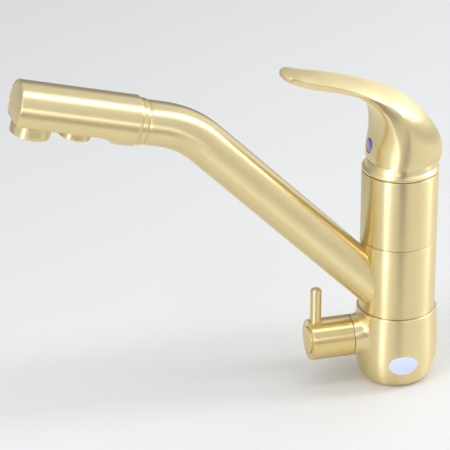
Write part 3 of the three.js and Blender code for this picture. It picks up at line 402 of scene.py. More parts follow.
def makeSatinGold(name, tones=paleGold, roughness=0.39, anisotropy=0.96, lineLength=16.0, depth=0.1):
    # brushed satin gold plating; its lines follow the mesh's own U
    material, tree, shader, place = newMaterial(name)
    lines = tree.nodes.new("ShaderNodeUVMap")
    lines.uv_map = "brushLines"
    brush = addEffect(tree, "brush", lines.outputs[0], Line_Length=lineLength, Line_Width=0.14)
    mottle = addEffect(tree, "mottle", place, Patch_Scale=70.0)
    edge = addEffect(tree, "edge", place, Reach=0.0006)
    marks = addEffect(tree, "marks", place)
    tone = addMath(tree, "ADD", addMath(tree, "MULTIPLY", mottle.outputs["Mottle"], 0.5),
                   addMath(tree, "MULTIPLY", brush.outputs["Streaks"], 0.5))
    plain = mixColour(tree, tone, tones["deep"], tones["light"])
    tree.links.new(mixColour(tree, edge.outputs["Edge"], plain, tones["edge"]), shader.inputs["Base Color"])
    streaky = addMath(tree, "MULTIPLY_ADD", brush.outputs["Streaks"], 0.10, roughness - 0.05)
    smeared = addMath(tree, "MULTIPLY_ADD", marks.outputs["Marks"], 0.05, streaky)
    rubbed = addMath(tree, "MULTIPLY_ADD", edge.outputs["Edge"], -0.08, smeared)
    tree.links.new(rubbed, shader.inputs["Roughness"])
    shader.inputs["Metallic"].default_value = 1.0
    shader.inputs["Anisotropic"].default_value = anisotropy
    shader.inputs["Anisotropic Rotation"].default_value = 0.25
    tangent = tree.nodes.new("ShaderNodeTangent")
    tangent.direction_type = "UV_MAP"
    tangent.uv_map = "brushLines"
    tree.links.new(tangent.outputs[0], shader.inputs["Tangent"])
    addBump(tree, shader, brush.outputs["Height"], depth, 0.00002)
    return material


def makePlainFinish(name, low, high, roughness, metallic, grainDepth, patchScale=120.0):
    # moulded, machined or pressed stuff inside the tap
    material, tree, shader, place = newMaterial(name)
    mottle = addEffect(tree, "mottle", place, Patch_Scale=patchScale)
    edge = addEffect(tree, "edge", place, Reach=0.0004, Strength=3.0)
    plain = mixColour(tree, mottle.outputs["Mottle"], low, high)
    worn = tuple(min(1.0, c * 1.15 + 0.02) for c in high)
    tree.links.new(mixColour(tree, edge.outputs["Edge"], plain, worn), shader.inputs["Base Color"])
    addGloss(tree, shader, mottle, 0.12, roughness - 0.06)
    shader.inputs["Metallic"].default_value = metallic
    addBump(tree, shader, mottle.outputs["Grain"], grainDepth, 0.00005)
    return material


def makeHotColdMark():
    # glazed button, blue on the cold side and red on the hot side
    material, tree, shader, place = newMaterial("hotColdGlaze")
    y = splitAxes(tree, place)[1]
    side = addMath(tree, "MULTIPLY_ADD", y, 8000.0, 0.5, clamp=True)
    mottle = addEffect(tree, "mottle", place, Patch_Scale=300.0)
    blue = mixColour(tree, mottle.outputs["Mottle"], (0.02, 0.05, 0.34), (0.05, 0.10, 0.48))
    red = mixColour(tree, mottle.outputs["Mottle"], (0.42, 0.015, 0.02), (0.55, 0.03, 0.035))
    tree.links.new(mixColour(tree, side, blue, red), shader.inputs["Base Color"])
    addGloss(tree, shader, mottle, 0.1, 0.18)
    shader.inputs["Coat Weight"].default_value = 0.6
    addBump(tree, shader, mottle.outputs["Grain"], 0.1, 0.00003)
    return material


def makeLabelPaper():
    # blank oval label, faintly clouded
    material, tree, shader, place = newMaterial("blankLabel")
    mottle = addEffect(tree, "mottle", place, Patch_Scale=330.0)
    edge = addEffect(tree, "edge", place, Reach=0.0004, Strength=4.0)
    paper = mixColour(tree, mottle.outputs["Mottle"], (0.62, 0.68, 0.92), (0.80, 0.84, 0.97))
    worn = mixColour(tree, edge.outputs["Edge"], paper, (0.9, 0.92, 0.98))
    tree.links.new(worn, shader.inputs["Base Color"])
    addGloss(tree, shader, mottle, 0.2, 0.35)
    addBump(tree, shader, mottle.outputs["Grain"], 0.15, 0.00004)
    return material


capBrush = {"roughness": 0.34, "anisotropy": 0.35, "lineLength": 9.0}
finishes = {
    "turnedGold": makeSatinGold("satinGoldTurned"),
    "casingGold": makeSatinGold("satinGoldCasing", roughness=0.36),
    # the knob and its cap take the darker copy of the gold, which is painted shade
    "knobGold": makeSatinGold("satinGoldKnob", shadedKnobGold, roughness=0.34),
    "knobCapGold": makeSatinGold("satinGoldKnobCap", shadedKnobGold, **capBrush),
    "capGold": makeSatinGold("satinGoldCap", **capBrush),
    "leverGold": makeSatinGold("satinGoldLever", roughness=0.36, anisotropy=0.85, lineLength=12.0),
    "rawBrass": makePlainFinish("machinedBrass", (0.62, 0.44, 0.17), (0.76, 0.58, 0.27), 0.38, 1.0, 0.2),
    "steel": makePlainFinish("machinedSteel", (0.55, 0.56, 0.58), (0.70, 0.71, 0.73), 0.3, 1.0, 0.2),
    "rubber": makePlainFinish("blackRubber", (0.015, 0.015, 0.017), (0.035, 0.035, 0.04), 0.75, 0.0, 0.5),
    "whitePlastic": makePlainFinish("whiteMoulding", (0.74, 0.73, 0.70), (0.84, 0.83, 0.80), 0.42, 0.0, 0.2),
    "greyPlastic": makePlainFinish("greyMoulding", (0.20, 0.21, 0.23), (0.27, 0.28, 0.30), 0.5, 0.0, 0.3),
    "ceramic": makePlainFinish("lappedCeramic", (0.84, 0.83, 0.79), (0.92, 0.91, 0.88), 0.14, 0.0, 0.05),
    "hose": makePlainFinish("foodHose", (0.66, 0.72, 0.75), (0.76, 0.81, 0.83), 0.3, 0.0, 0.1),
    "mark": makeHotColdMark(),
    "label": makeLabelPaper(),
}
print("finishes made")


def dress(piece, finish, body, *replaced, slot="satin_gold"):
    piece.data.materials.clear()
    piece.data.materials.append(finishes[finish])
    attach(piece, body)
    if replaced:
        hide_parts(*replaced)
    return piece


# base casing with the filter valve's boss
casing = {
    "height": 49.0, "bulge": 26.3, "bulgeHeight": 20.0, "topRadius": 25.2, "footRadius": 18.5,
    "roundness": 1.7, "topEdge": 0.5, "bore": 19.8, "boreTop": 60, "flange": 6.0, "flangeBore": 14.9,
    "groove": (15.1, 17.7, 2.3), "valveBore": 8.9, "valveReach": (15, 40),
    "screwHeight": 10.6, "screwBore": 2.5, "screwReach": (17, 30),
}
boss = {
    "radius": 13.1, "face": 30.7, "edge": 0.35, "flare": 3.0, "flareSteps": 9, "edgeSteps": 3,
    "roots": ((-1.5, 6.0), (-1.5, 3.0), (0.35, 0.12)), "ceiling": 48.4, "sides": 120,
}
screwPlace = Matrix.Translation((0, 0, casing["screwHeight"])) @ alongX


def casingRadius(z):
    if z >= casing["bulgeHeight"]:
        up = (z - casing["bulgeHeight"]) / (casing["height"] - casing["bulgeHeight"])
        return casing["bulge"] - (casing["bulge"] - casing["topRadius"]) * up * up
    down = (casing["bulgeHeight"] - z) / casing["bulgeHeight"]
    roundShare = (1 - down ** casing["roundness"]) ** (1 / casing["roundness"])
    return casing["footRadius"] + (casing["bulge"] - casing["footRadius"]) * roundShare


def casingFront(y, z):
    # distance along -X to the casing's skin at a place on its front
    return math.sqrt(casingRadius(z) ** 2 - y * y)


def makeBoss():
    # boss whose foot flares out to meet the rounded casing tangentially
    radius, flare = boss["radius"], boss["flare"]
    rows = []

    def ringAt(makePoint):
        rows.append([makePoint(turn) for turn in roundAngles(boss["sides"])])

    def skinPoint(turn, reach, sink=0):
        y, up = reach * math.sin(turn), reach * math.cos(turn)
        z = min(tap["valveHeight"] + up, boss["ceiling"])
        return Vector((sink - casingFront(y, z), y, z))

    def barrelPoint(turn, reach, out):
        return Vector((-out, reach * math.sin(turn), tap["valveHeight"] + reach * math.cos(turn)))

    def flarePoint(turn, t):
        foot = skinPoint(turn, radius + flare)
        slope = (foot - skinPoint(turn, radius + flare - 0.5)).normalized()
        corner = barrelPoint(turn, radius, flare * slope.x - foot.x)
        return bent(foot, corner, corner - Vector((flare, 0, 0)), t)

    for beyond, under in boss["roots"]:
        ringAt(lambda turn, r=radius + flare + beyond, sink=under: skinPoint(turn, r, sink))
    for k in range(boss["flareSteps"] + 1):
        ringAt(lambda turn, t=k / boss["flareSteps"]: flarePoint(turn, t))
    for step in range(boss["edgeSteps"] + 1):
        bend = step / boss["edgeSteps"] * math.pi / 2
        reach = radius - boss["edge"] * (1 - math.cos(bend))
        out = boss["face"] - boss["edge"] * (1 - math.sin(bend))
        ringAt(lambda turn, r=reach, x=out: barrelPoint(turn, r, x))
    return skin("boss", rows)


def makeCasing():
    rows = 64
    outer = []
    for i in range(rows + 1):
        z = (casing["height"] - casing["topEdge"]) * (1 - math.cos(math.pi * i / rows)) / 2
        outer.append((casingRadius(z), z))
    edge = softOutline([
        (casingRadius(casing["height"] - 2), casing["height"] - 2, 0),
        (casing["topRadius"], casing["height"], casing["topEdge"]),
        (casing["bore"], casing["height"], 0),
    ])[1:]
    grooveIn, grooveOut, grooveTop = casing["groove"]
    flange, flangeBore = casing["flange"], casing["flangeBore"]
    inside = [
        (casing["bore"], flange), (flangeBore, flange), (flangeBore, 0),
        (grooveIn, 0), (grooveIn, grooveTop), (grooveOut, grooveTop), (grooveOut, 0),
    ]
    body = turned("base_shell", outer + edge + inside, 160, None, True)
    combine(body, makeBoss(), "UNION")
    drill(body, casing["bore"], flange, casing["boreTop"], 160)
    drill(body, casing["valveBore"], *casing["valveReach"], 96, valvePlace)
    drill(body, casing["screwBore"], *casing["screwReach"], 48, screwPlace)
    return body


dress(makeCasing(), "casingGold", "base", "base_casing")
print("base casing made")

# blank oval label, low on the front of the base
label = {
    "azimuth": math.radians(-6.8), "height": 17.6, "halfWidth": 9.4, "halfHeight": 6.6, "thick": 0.09,
    "under": 0.01, "rings": 10, "sides": 72,
}


def makeLabel():
    rows = []
    for lift in (label["thick"], label["under"]):
        shares = [k / label["rings"] for k in range(1, label["rings"] + 1)]
        if lift < label["thick"]:
            shares.reverse()
        for share in shares:
            row = []
            for turn in roundAngles(label["sides"]):
                z = label["height"] + label["halfHeight"] * share * math.sin(turn)
                drop = label["thick"] * 0.5 * share ** 12 if lift == label["thick"] else 0
                r = casingRadius(z) + lift - drop
                across = label["halfWidth"] * share * math.cos(turn)
                angle = label["azimuth"] + across / casing["bulge"]
                row.append(Vector((r * math.sin(angle), -r * math.cos(angle), z)))
            rows.append(row)
    return skin("blank_label", rows)


dress(makeLabel(), "label", "base", slot=None)
print("label made")

# inlet block under the core, with the threads for the hoses and the fixing stud
block = {
    "foot": 14.6, "shoulder": 6.3, "radius": 19.5, "height": 16.5, "circle": 9.2, "inlet": 4.2,
    "inletDepth": 13.0, "stud": 3.4, "studDepth": 14.0, "port": 3.0, "pocket": 5.1, "pocketDepth": 1.4,
    "screwCircle": 11.0, "screwRoom": 3.05, "screwRoomDepth": 4.5, "screwHole": 1.8, "screwSeat": (16.5, 30),
}


thread = {"pitch": 1.0, "depth": 0.45, "start": 1.2, "mouth": 0.7, "mouthDepth": 0.8}


def threadedHole(r, depth):
    # countersunk hole with a ridge for each turn of its thread
    pitch, mouth = thread["pitch"], r + thread["mouth"]
    outline = [(mouth, -1), (mouth, 0.05), (r, thread["mouthDepth"])]
    for k in range(int(depth) - 2):
        z = thread["start"] + k * pitch
        outline += [(r, z), (r + thread["depth"], z + pitch * 0.4), (r, z + pitch * 0.8)]
    return outline + [(r, depth)]


def makeInletBlock():
    top, circle = block["height"], block["circle"]
    body = turned("brass_block", softOutline([
        (block["foot"] - 3, 0, 0), (block["foot"], 0, 0.4), (block["foot"], block["shoulder"], 0.3),
        (block["radius"], block["shoulder"], 0.4), (block["radius"], top, 0.3), (block["radius"] - 3, top, 0),
    ]), 128)
    ports = [
        (block["port"], block["inletDepth"] - 1), (block["port"], top - block["pocketDepth"]),
        (block["pocket"], top - block["pocketDepth"]), (block["pocket"], top + 1),
    ]
    screwRoom = [
        (block["screwRoom"] + 0.3, -1), (block["screwRoom"] + 0.3, 0), (block["screwRoom"], 0.4),
        (block["screwRoom"], block["screwRoomDepth"]), (block["screwHole"], block["screwRoomDepth"]),
        (block["screwHole"], top + 1),
    ]
    diagonal = block["screwCircle"] * math.sqrt(0.5)
    holes = [(circle, 0, threadedHole(block["stud"], block["studDepth"]))]
    for x, y in ((0, circle), (0, -circle), (-circle, 0)):
        holes += [(x, y, threadedHole(block["inlet"], block["inletDepth"])), (x, y, ports)]
    holes += [(-diagonal, -diagonal, screwRoom), (diagonal, diagonal, screwRoom)]
    for x, y, outline in holes:
        combine(body, turned("hole", outline, 48, Matrix.Translation((x, y, 0))), "DIFFERENCE")
    drill(body, casing["screwBore"], *block["screwSeat"], 48, screwPlace)
    return body


dress(makeInletBlock(), "rawBrass", "base", "inlet_block", slot="raw_brass")
print("inlet block made")

# core: the casting that carries the collar, whose upper part is the cartridge head
core = {
    "foot": 16.8, "spigot": 19.5, "edge": 0.5, "rimRoom": 20.3, "cartridge": 17.8,
    "nutFoot": 138.7, "seat": 118.1, "riser": 3.0, "valveSeat": 6.3, "valveSeatReach": (15.5, 22),
}


def makeCore():
    radius, rim = tap["bodyRadius"], tap["rim"]
    outline = softOutline([
        (core["spigot"] - 3, core["foot"], 0), (core["spigot"], core["foot"], 0.3),
        (core["spigot"], tap["headFoot"], 0.3), (radius, tap["headFoot"], core["edge"]),
        (radius, rim, core["edge"]), (core["rimRoom"], rim, 0.2), (core["rimRoom"], core["nutFoot"], 0.2),
        (core["cartridge"], core["nutFoot"], 0.3), (core["cartridge"], core["seat"], 0),
    ])
    body = turned("core_casting", outline, 160)
    for y in (block["circle"], -block["circle"]):
        drill(body, core["riser"], core["foot"] - 1, core["seat"] + 1, 32, Matrix.Translation((0, y, 0)))
    drill(body, core["valveSeat"], *core["valveSeatReach"], 48, valvePlace)
    return body


dress(makeCore(), "turnedGold", "base", "body_core")
print("core made")

# collar that turns with the spout
collar = {"bore": 20.0, "pocket": 22.4, "pocketDepth": 1.3, "edge": 0.4}


def makeCollar():
    radius, foot, top = tap["bodyRadius"], tap["collarFoot"], tap["collarTop"]
    outline = softOutline([
        (collar["pocket"], foot, 0), (radius, foot, collar["edge"]), (radius, top, collar["edge"]),
        (collar["pocket"], top, 0), (collar["pocket"], top - collar["pocketDepth"], 0),
        (collar["bore"], top - collar["pocketDepth"], 0), (collar["bore"], foot + collar["pocketDepth"], 0),
        (collar["pocket"], foot + collar["pocketDepth"], 0),
    ])
    return turned("collar_sleeve", outline, 160, None, True)


dress(makeCollar(), "turnedGold", "spout", "spout_collar")

# spout tube: two straight legs and a bend
tube = {
    "radius": 13.75, "wall": 1.5, "start": 14.0, "endSpare": 80.3, "lip": 1.3, "sides": 96,
    "straightSteps": 30, "bendSteps": 28, "cope": tap["bodyRadius"] - 0.15, "copeReach": (30, 120),
}


def tubeStations():
    # points and directions along the tube's middle line
    rise, tilt, bend = tap["rise"], tap["tilt"], tap["bendRadius"]
    bendStart = spoutCorner - spoutDirection(rise) * (bend * math.tan((rise - tilt) / 2))
    centre = bendStart - spoutSquare(rise) * bend
    first = spoutRoot + spoutDirection(rise) * tube["start"]
    stations = []
    for k in range(tube["straightSteps"]):
        stations.append((first.lerp(bendStart, k / tube["straightSteps"]), rise))
    for k in range(tube["bendSteps"]):
        angle = rise + (tilt - rise) * k / tube["bendSteps"]
        stations.append((centre + spoutSquare(angle) * bend, angle))
    bendEnd = centre + spoutSquare(tilt) * bend
    last = spoutCorner + spoutDirection(tilt) * (tap["secondLeg"] - tube["endSpare"])
    for k in range(5):
        stations.append((bendEnd.lerp(last, k / 4), tilt))
    return stations


def makeTube():
    stations = tubeStations()
    radius, lip, tilt = tube["radius"], tube["lip"], tap["tilt"]

    def ringAt(place, angle, reach):
        square, side = spoutSquare(angle) * reach, Vector((0, reach, 0))
        return [place + square * math.cos(a) + side * math.sin(a) for a in roundAngles(tube["sides"])]

    outside = [ringAt(p, a, radius) for p, a in stations[:-1]]
    end = stations[-1][0]
    for setBack, drop in ((1.0, 0.0), (0.4, 0.2), (0.0, 0.5)):
        outside.append(ringAt(end - spoutDirection(tilt) * lip * setBack, tilt, radius - lip * drop))
    inside = [ringAt(p, a, radius - tube["wall"]) for p, a in reversed(stations)]
    piece = skin("spout_pipe", outside + inside, None, True)
    drill(piece, tube["cope"], *tube["copeReach"], 160)
    return piece


dress(makeTube(), "turnedGold", "spout", "spout_tube")
print("collar and tube made")

# spout head: turned bar with a milled underside
head = {
    "radius": 15.6, "length": 76.0, "chamfer": (1.35, 2.2), "flat": 9.4, "flatLength": 52.0, "cutter": 12.0,
    "pocket": 14.5, "pocketDepth": 1.9, "pocketLip": 0.4, "spigot": 11.95, "spigotEnd": 92.3,
    "blend": 0.7, "ringRadius": 14.4, "ringStart": 76.03, "ringLength": 4.2, "bore": 12.25,
    "grooveRadius": 13.1, "sides": 240,
}
endCap = {
    "radius": 14.2, "thick": 1.6, "dome": 0.7, "middle": 0.06, "steps": 10, "sides": 160,
    "edge": (0.25, 0.3), "flatRoom": 0.75, "blend": 0.4,
}


def filledOutline(corners, spacing):
    # the same outline with points at most so far apart
    filled = []
    for before, after in zip(corners, corners[1:]):
        steps = max(1, math.ceil((after - before).length / spacing))
        filled += [before.lerp(after, k / steps) for k in range(steps)]
    return filled


def flatDepth(s):
    # how far below its axis the underside lies, at a distance from the end face
    if s <= head["flatLength"]:
        return head["flat"]
    past = s - head["flatLength"]
    if past >= head["cutter"]:
        return math.inf
    return head["flat"] + head["cutter"] - math.sqrt(head["cutter"] ** 2 - past * past)


def barRow(s, radius, depth, blend, sides):
    # ring round the head's axis, cut flat at a depth below it
    row = []
    for turn in roundAngles(sides):
        down = -math.cos(turn)
        r = softMin(radius, depth / down, blend) if down > 0.2 else radius
        row.append(Vector((s, r * math.sin(turn), r * math.cos(turn))))
    return row


def makeHead():
    pocket, spigot, length = head["pocket"], head["spigot"], head["length"]
    inset, reach = head["chamfer"]
    outline = softOutline([
        (pocket, head["pocketDepth"], 0), (pocket, 0, 0.15), (head["radius"], 0, 0.45),
        (head["radius"], length - reach, 0.6), (head["radius"] - inset, length, 0.3),
        (spigot, length, 0), (spigot, head["spigotEnd"], 0),
    ])
    rows = []
    for radius, s in filledOutline(outline, 0.5) + outline[-1:]:
        inPocket = s < length / 2 and radius < pocket + 0.01
        depth = flatDepth(s) - (head["pocketLip"] if inPocket else 0)
        rows.append(barRow(s, radius, depth, head["blend"], head["sides"]))
    return skin("head_bar", rows, headPlace, False, 40)


def makeEndCap():
    radius, middle = endCap["radius"], endCap["middle"]
    inset, rise = endCap["edge"]
    outline = []
    for k in range(endCap["steps"]):
        share = middle + (1 - middle) * k / endCap["steps"]
        outline.append((radius * share, -endCap["dome"] * (1 - share * share)))
    outline += [(radius - inset, 0.02), (radius, rise), (radius, endCap["thick"])]
    depth = head["flat"] - endCap["flatRoom"]
    rows = [barRow(s, reach, depth, endCap["blend"], endCap["sides"]) for reach, s in outline]
    return skin("end_cover", rows, headPlace)


def makeHeadRing():
    start, end = head["ringStart"], head["ringStart"] + head["ringLength"]
    outline = softOutline([
        (head["bore"], start, 0), (head["ringRadius"], start, 0.2), (head["ringRadius"], end - 1.5, 1.1),
        (head["grooveRadius"], end, 0), (head["bore"], end, 0),
    ])
    return turned("head_collar", outline, 128, headPlace @ alongX, True)


dress(makeHead(), "turnedGold", "spout", "spout_head")
dress(makeEndCap(), "capGold", "spout", "head_end_cap")
dress(makeHeadRing(), "turnedGold", "spout", "head_ring")
print("spout head made")

# two outlets under the head, each with spanner flats
outlets = {
    "main": {"along": 12.6, "radius": 12.3, "drop": 7.2, "flats": 23.2, "bore": 8.6},
    "filtered": {"along": 39.7, "radius": 10.0, "drop": 4.8, "flats": 18.6, "bore": 7.2},
}
spannerFlat = {"fromRoot": 1.3, "fromRim": 1.6, "fade": 0.3, "blend": 0.25}


def makeOutletShell(name, size):
    # a ring whose two flats stop short of its root and of its rim
    top, foot = -head["flat"] + 0.1, -head["flat"] - 0.3 - size["drop"]
    outline = softOutline([
        (size["bore"], top, 0), (size["radius"], top, 0), (size["radius"], foot, 0.7),
        (size["bore"], foot, 0.5),
    ])
    flatTop, flatFoot = -head["flat"] - spannerFlat["fromRoot"], foot + spannerFlat["fromRim"]
    rows = []
    for radius, z in filledOutline(outline + outline[:1], 0.35):
        row = []
        inFlat = max(0, min(1, min(flatTop - z, z - flatFoot) / spannerFlat["fade"] + 0.5))
        for turn in roundAngles(160):
            r = radius
            if inFlat > 0 and radius > size["radius"] - 0.5:
                cut = size["flats"] / 2 / max(abs(math.sin(turn)), 0.2)
                r += (softMin(radius, cut, spannerFlat["blend"]) - radius) * inFlat
            row.append(Vector((size["along"] + r * math.cos(turn), r * math.sin(turn), z)))
        rows.append(row)
    return skin(name + "_outlet_ring", rows, headPlace, True, 40)


for outletName, outletSize in outlets.items():
    dress(makeOutletShell(outletName, outletSize), "turnedGold", "spout", outletName + "_outlet_shell")
print("outlets made")

# filter valve's knob, pin lever and end cap
knob = {
    "foot": 31.0, "face": 58.0, "radius": 13.1, "edge": 0.6, "footChamfer": (0.35, 0.4),
    "headworkRoom": 9.2, "headworkDepth": 3.1, "stem": 7.2, "stemEnd": 48.0, "screwHole": 3.7,
    "capRoom": 8.5, "capDepth": 2.3, "capRadius": 8.05, "capFoot": 2.0, "capProud": 0.7, "capEdge": 0.45,
    "pinRadius": 3.5, "pinFoot": 9.5, "pinReach": 35.6, "pinInset": 4.5, "pinTip": 1.6, "pinPlay": 0.12,
    "socketReach": (9.2, 16),
}
pinPlace = valvePlace @ Matrix.Translation((0, 0, knob["face"] - knob["pinInset"])) @ alongX


def makeKnob():
    foot, face, radius = knob["foot"], knob["face"], knob["radius"]
    inset, rise = knob["footChamfer"]
    room, roomTop = knob["headworkRoom"], foot + knob["headworkDepth"]
    capRoom, capFloor = knob["capRoom"], face - knob["capDepth"]
    outline = softOutline([
        (room, roomTop, 0), (room, foot, 0.2), (radius - inset, foot, 0.15), (radius, foot + rise, 0.15),
        (radius, face, knob["edge"]), (capRoom, face, 0.15), (capRoom, capFloor, 0),
        (knob["screwHole"], capFloor, 0), (knob["screwHole"], knob["stemEnd"], 0),
        (knob["stem"], knob["stemEnd"], 0), (knob["stem"], roomTop, 0),
    ])
    body = turned("knob_barrel", outline, 144, valvePlace, True)
    drill(body, knob["pinRadius"] + knob["pinPlay"], *knob["socketReach"], 48, pinPlace)
    return body


def makePin():
    r, tip = knob["pinRadius"], knob["pinReach"]
    outline = softOutline([(r, knob["pinFoot"], 0), (r, tip, knob["pinTip"]), (0.4, tip, 0)], 8)
    return turned("pin_rod", outline, 64, pinPlace)


def makeKnobCap():
    radius, top = knob["capRadius"], knob["face"] + knob["capProud"]
    outline = softOutline([
        (radius, knob["face"] - knob["capFoot"], 0), (radius, top, knob["capEdge"]), (0.4, top + 0.02, 0),
    ], 5)
    return turned("knob_cover", outline, 96, valvePlace)


dress(makeKnob(), "knobGold", "knob", "knob_sleeve")
dress(makePin(), "turnedGold", "knob", "pin_lever")
dress(makeKnobCap(), "knobCapGold", "knob", "knob_cap")
print("filter valve made")

# dome cap under the lever
domeCap = {
    "foot": 143.75, "lip": 1.55, "shoulder": 3.35, "shoulderRadius": 22.4, "topRadius": 21.2,
    "height": 7.05, "bore": 17.7, "ceiling": 5.8, "stemRoom": 12.4,
}


def makeDomeCap():
    foot, radius = domeCap["foot"], tap["bodyRadius"]
    top, ceiling = foot + domeCap["height"], foot + domeCap["ceiling"]
    outline = softOutline([
        (domeCap["bore"], foot, 0), (radius, foot, 0.5), (radius, foot + domeCap["lip"], 0.6),
        (domeCap["shoulderRadius"], foot + domeCap["shoulder"], 0.8), (domeCap["topRadius"], top, 0.5),
        (domeCap["stemRoom"], top, 0.2), (domeCap["stemRoom"], ceiling, 0), (domeCap["bore"], ceiling, 0),
    ])
    return turned("dome_ring", outline, 144, None, True)


dress(makeDomeCap(), "capGold", "base", "dome_cap")
print("dome cap made")

# lever: sections that fan round from the blade's tip, over the shoulder, to the foot.
# crest and belly are (x, z) on the middle plane; upper and lower are (x, z, half width) of the two
# side edges; hollow is how deep the band between those edges is scooped, and full is how far the top
# swells out towards its side edges. Each row is one station: crest, upper, lower, belly, hollow, full.
leverRows = [
    ((-78.5, 214.7), (-78.3, 214.3, 1.6), (-78.2, 213.5, 1.4), (-78.3, 213.2), 0, 0.6),
    ((-77.6, 215.4), (-77.3, 214.8, 4.8), (-77.2, 212.6, 4.6), (-77.2, 212.2), 0, 0.4),
    ((-75.2, 215.8), (-74.9, 215.0, 8.0), (-74.9, 211.7, 7.8), (-74.9, 211.2), -0.2, 0.3),
    ((-71.0, 215.7), (-71.0, 214.6, 10.4), (-71.0, 210.2, 9.2), (-71.0, 209.6), -0.4, 0.2),
    ((-60.0, 213.5), (-60.6, 211.3, 12.0), (-60.4, 206.7, 10.6), (-60.4, 206.0), -0.5, 0.15),
    ((-48.5, 210.8), (-49.0, 208.4, 13.4), (-48.7, 204.4, 12.1), (-48.8, 203.4), -0.5, 0.15),
    ((-34.6, 206.7), (-35.0, 204.1, 15.4), (-36.6, 201.7, 13.9), (-38.0, 200.1), -0.2, 0.2),
    ((-24.5, 203.6), (-25.6, 199.8, 17.4), (-29.0, 199.6, 15.3), (-31.0, 196.6), 0.5, 0.3),
    ((-15.0, 200.0), (-18.6, 196.4, 19.2), (-23.7, 196.5, 17.1), (-25.6, 192.0), 0.8, 0.4),
    ((-7.0, 196.5), (-12.5, 193.2, 21.2), (-19.2, 191.8, 19.3), (-21.6, 188.0), 0.7, 0.5),
    ((1.2, 192.0), (-7.8, 188.0, 22.8), (-15.7, 186.6, 20.8), (-19.4, 183.0), 0.4, 0.6),
    ((9.8, 184.9), (-4.7, 181.2, 24.0), (-12.7, 180.2, 21.2), (-18.8, 177.4), 0.1, 0.68),
    ((16.6, 177.2), (-2.9, 174.2, 24.5), (-10.4, 173.8, 21.7), (-19.2, 171.4), -0.2, 0.76),
    ((21.6, 169.8), (-2.1, 167.4, 24.75), (-8.8, 167.8, 22.4), (-20.2, 165.8), -0.3, 0.84),
    ((24.8, 162.6), (-2.2, 161.0, 24.75), (-8.4, 161.7, 22.8), (-21.3, 160.4), -0.3, 0.94),
    ((26.0, 156.4), (-3.0, 155.8, 24.7), (-8.8, 156.1, 23.0), (-21.6, 155.6), -0.3, 1.0),
    ((25.3, 151.7), (-4.4, 151.7, 24.4), (-9.6, 151.7, 22.9), (-21.4, 151.7), -0.2, 1.0),
]
leverDetail = {
    "perStation": 8, "crestSteps": 26, "bandSteps": 10, "bellySteps": 18, "neckTurn": math.radians(33),
    "lip": 0.6, "lipFrom": 1.5, "lipUntil": 9, "lipFade": 3, "sharp": 38,
}


def curveThrough(values, place):
    # smooth value between stations, by a Catmull-Rom curve
    i = min(int(place), len(values) - 2)
    t = place - i
    a, b, c, d = (values[min(max(k, 0), len(values) - 1)] for k in (i - 1, i, i + 1, i + 2))
    square, cube = 2 * a - 5 * b + 4 * c - d, 3 * b - a - 3 * c + d
    return 0.5 * (2 * b + (c - a) * t + square * t * t + cube * t ** 3)


def leverPoint(x, z, halfWidth=0):
    return Vector((x, halfWidth, z))


leverColumns = [
    [leverPoint(*entry) if isinstance(entry, tuple) else entry for entry in column]
    for column in zip(*leverRows)
]


def leverSection(place):
    crest, upper, lower, belly, hollow, full = (curveThrough(column, place) for column in leverColumns)
    half = []
    for k in range(leverDetail["crestSteps"]):
        share = k / leverDetail["crestSteps"]
        turn = math.pi / 2 * share
        flat = crest.lerp(upper, share * share * (1 - full) + (1 - math.cos(turn)) * full)
        half.append(Vector((flat.x, upper.y * (share * (1 - full) + math.sin(turn) * full), flat.z)))
    half.append(upper)
    fade = min(1, place - leverDetail["lipFrom"], (leverDetail["lipUntil"] - place) / leverDetail["lipFade"])
    lip = leverDetail["lip"] * max(0, fade)
    start = upper - Vector((0, lip, lip * 0.5))
    middle = start.lerp(lower, 0.5)
    inward = Vector((middle.x * -0.25, -1, 0)).normalized()
    control = middle + inward * 2 * hollow
    for k in range(1, leverDetail["bandSteps"]):
        t = (k - 1) / (leverDetail["bandSteps"] - 1)
        half.append(bent(start, control, lower, t))
    corner = belly.copy()
    corner.y = lower.y - (belly - Vector((lower.x, 0, lower.z))).length * math.tan(leverDetail["neckTurn"])
    for k in range(leverDetail["bellySteps"] + 1):
        t = k / leverDetail["bellySteps"]
        half.append(bent(lower, corner, belly, t))
    mirrored = [Vector((p.x, -p.y, p.z)) for p in half[-2:0:-1]]
    return half + mirrored


def makeLever():
    last = len(leverRows) - 1
    count = last * leverDetail["perStation"]
    rows = [leverSection(last * k / count) for k in range(count + 1)]
    lever = skin("lever_casting", rows, None, False, leverDetail["sharp"])
    brushTopLengthwise(lever.data, len(rows[0]))
    return lever


def brushTopLengthwise(mesh, count):
    # on the top, from side edge to side edge, the brush lines run along the lever
    lines = mesh.uv_layers["brushLines"].data
    steps = leverDetail["crestSteps"]
    for k, face in enumerate(mesh.polygons[:-2]):
        if k % count < steps or k % count >= count - steps:
            for loop in face.loop_indices:
                u, v = lines[loop].uv
                lines[loop].uv = (v, u)


leverRoom = {
    "skirt": 19.8, "skirtCeiling": 3.0, "rear": 23.1, "rearFrom": -0.6, "rearCeiling": 9.2,
    "boss": 7.4, "bossTop": 12.0, "socket": 4.3, "socketTop": 18.7, "mark": 4.9, "markReach": (18.8, 26),
}
mark = {"height": 9.2, "radius": 4.6, "foot": 19.1, "top": 21.1, "edge": 0.5, "dome": 0.15}
markPlace = facingFront(tap["leverFoot"] + mark["height"])


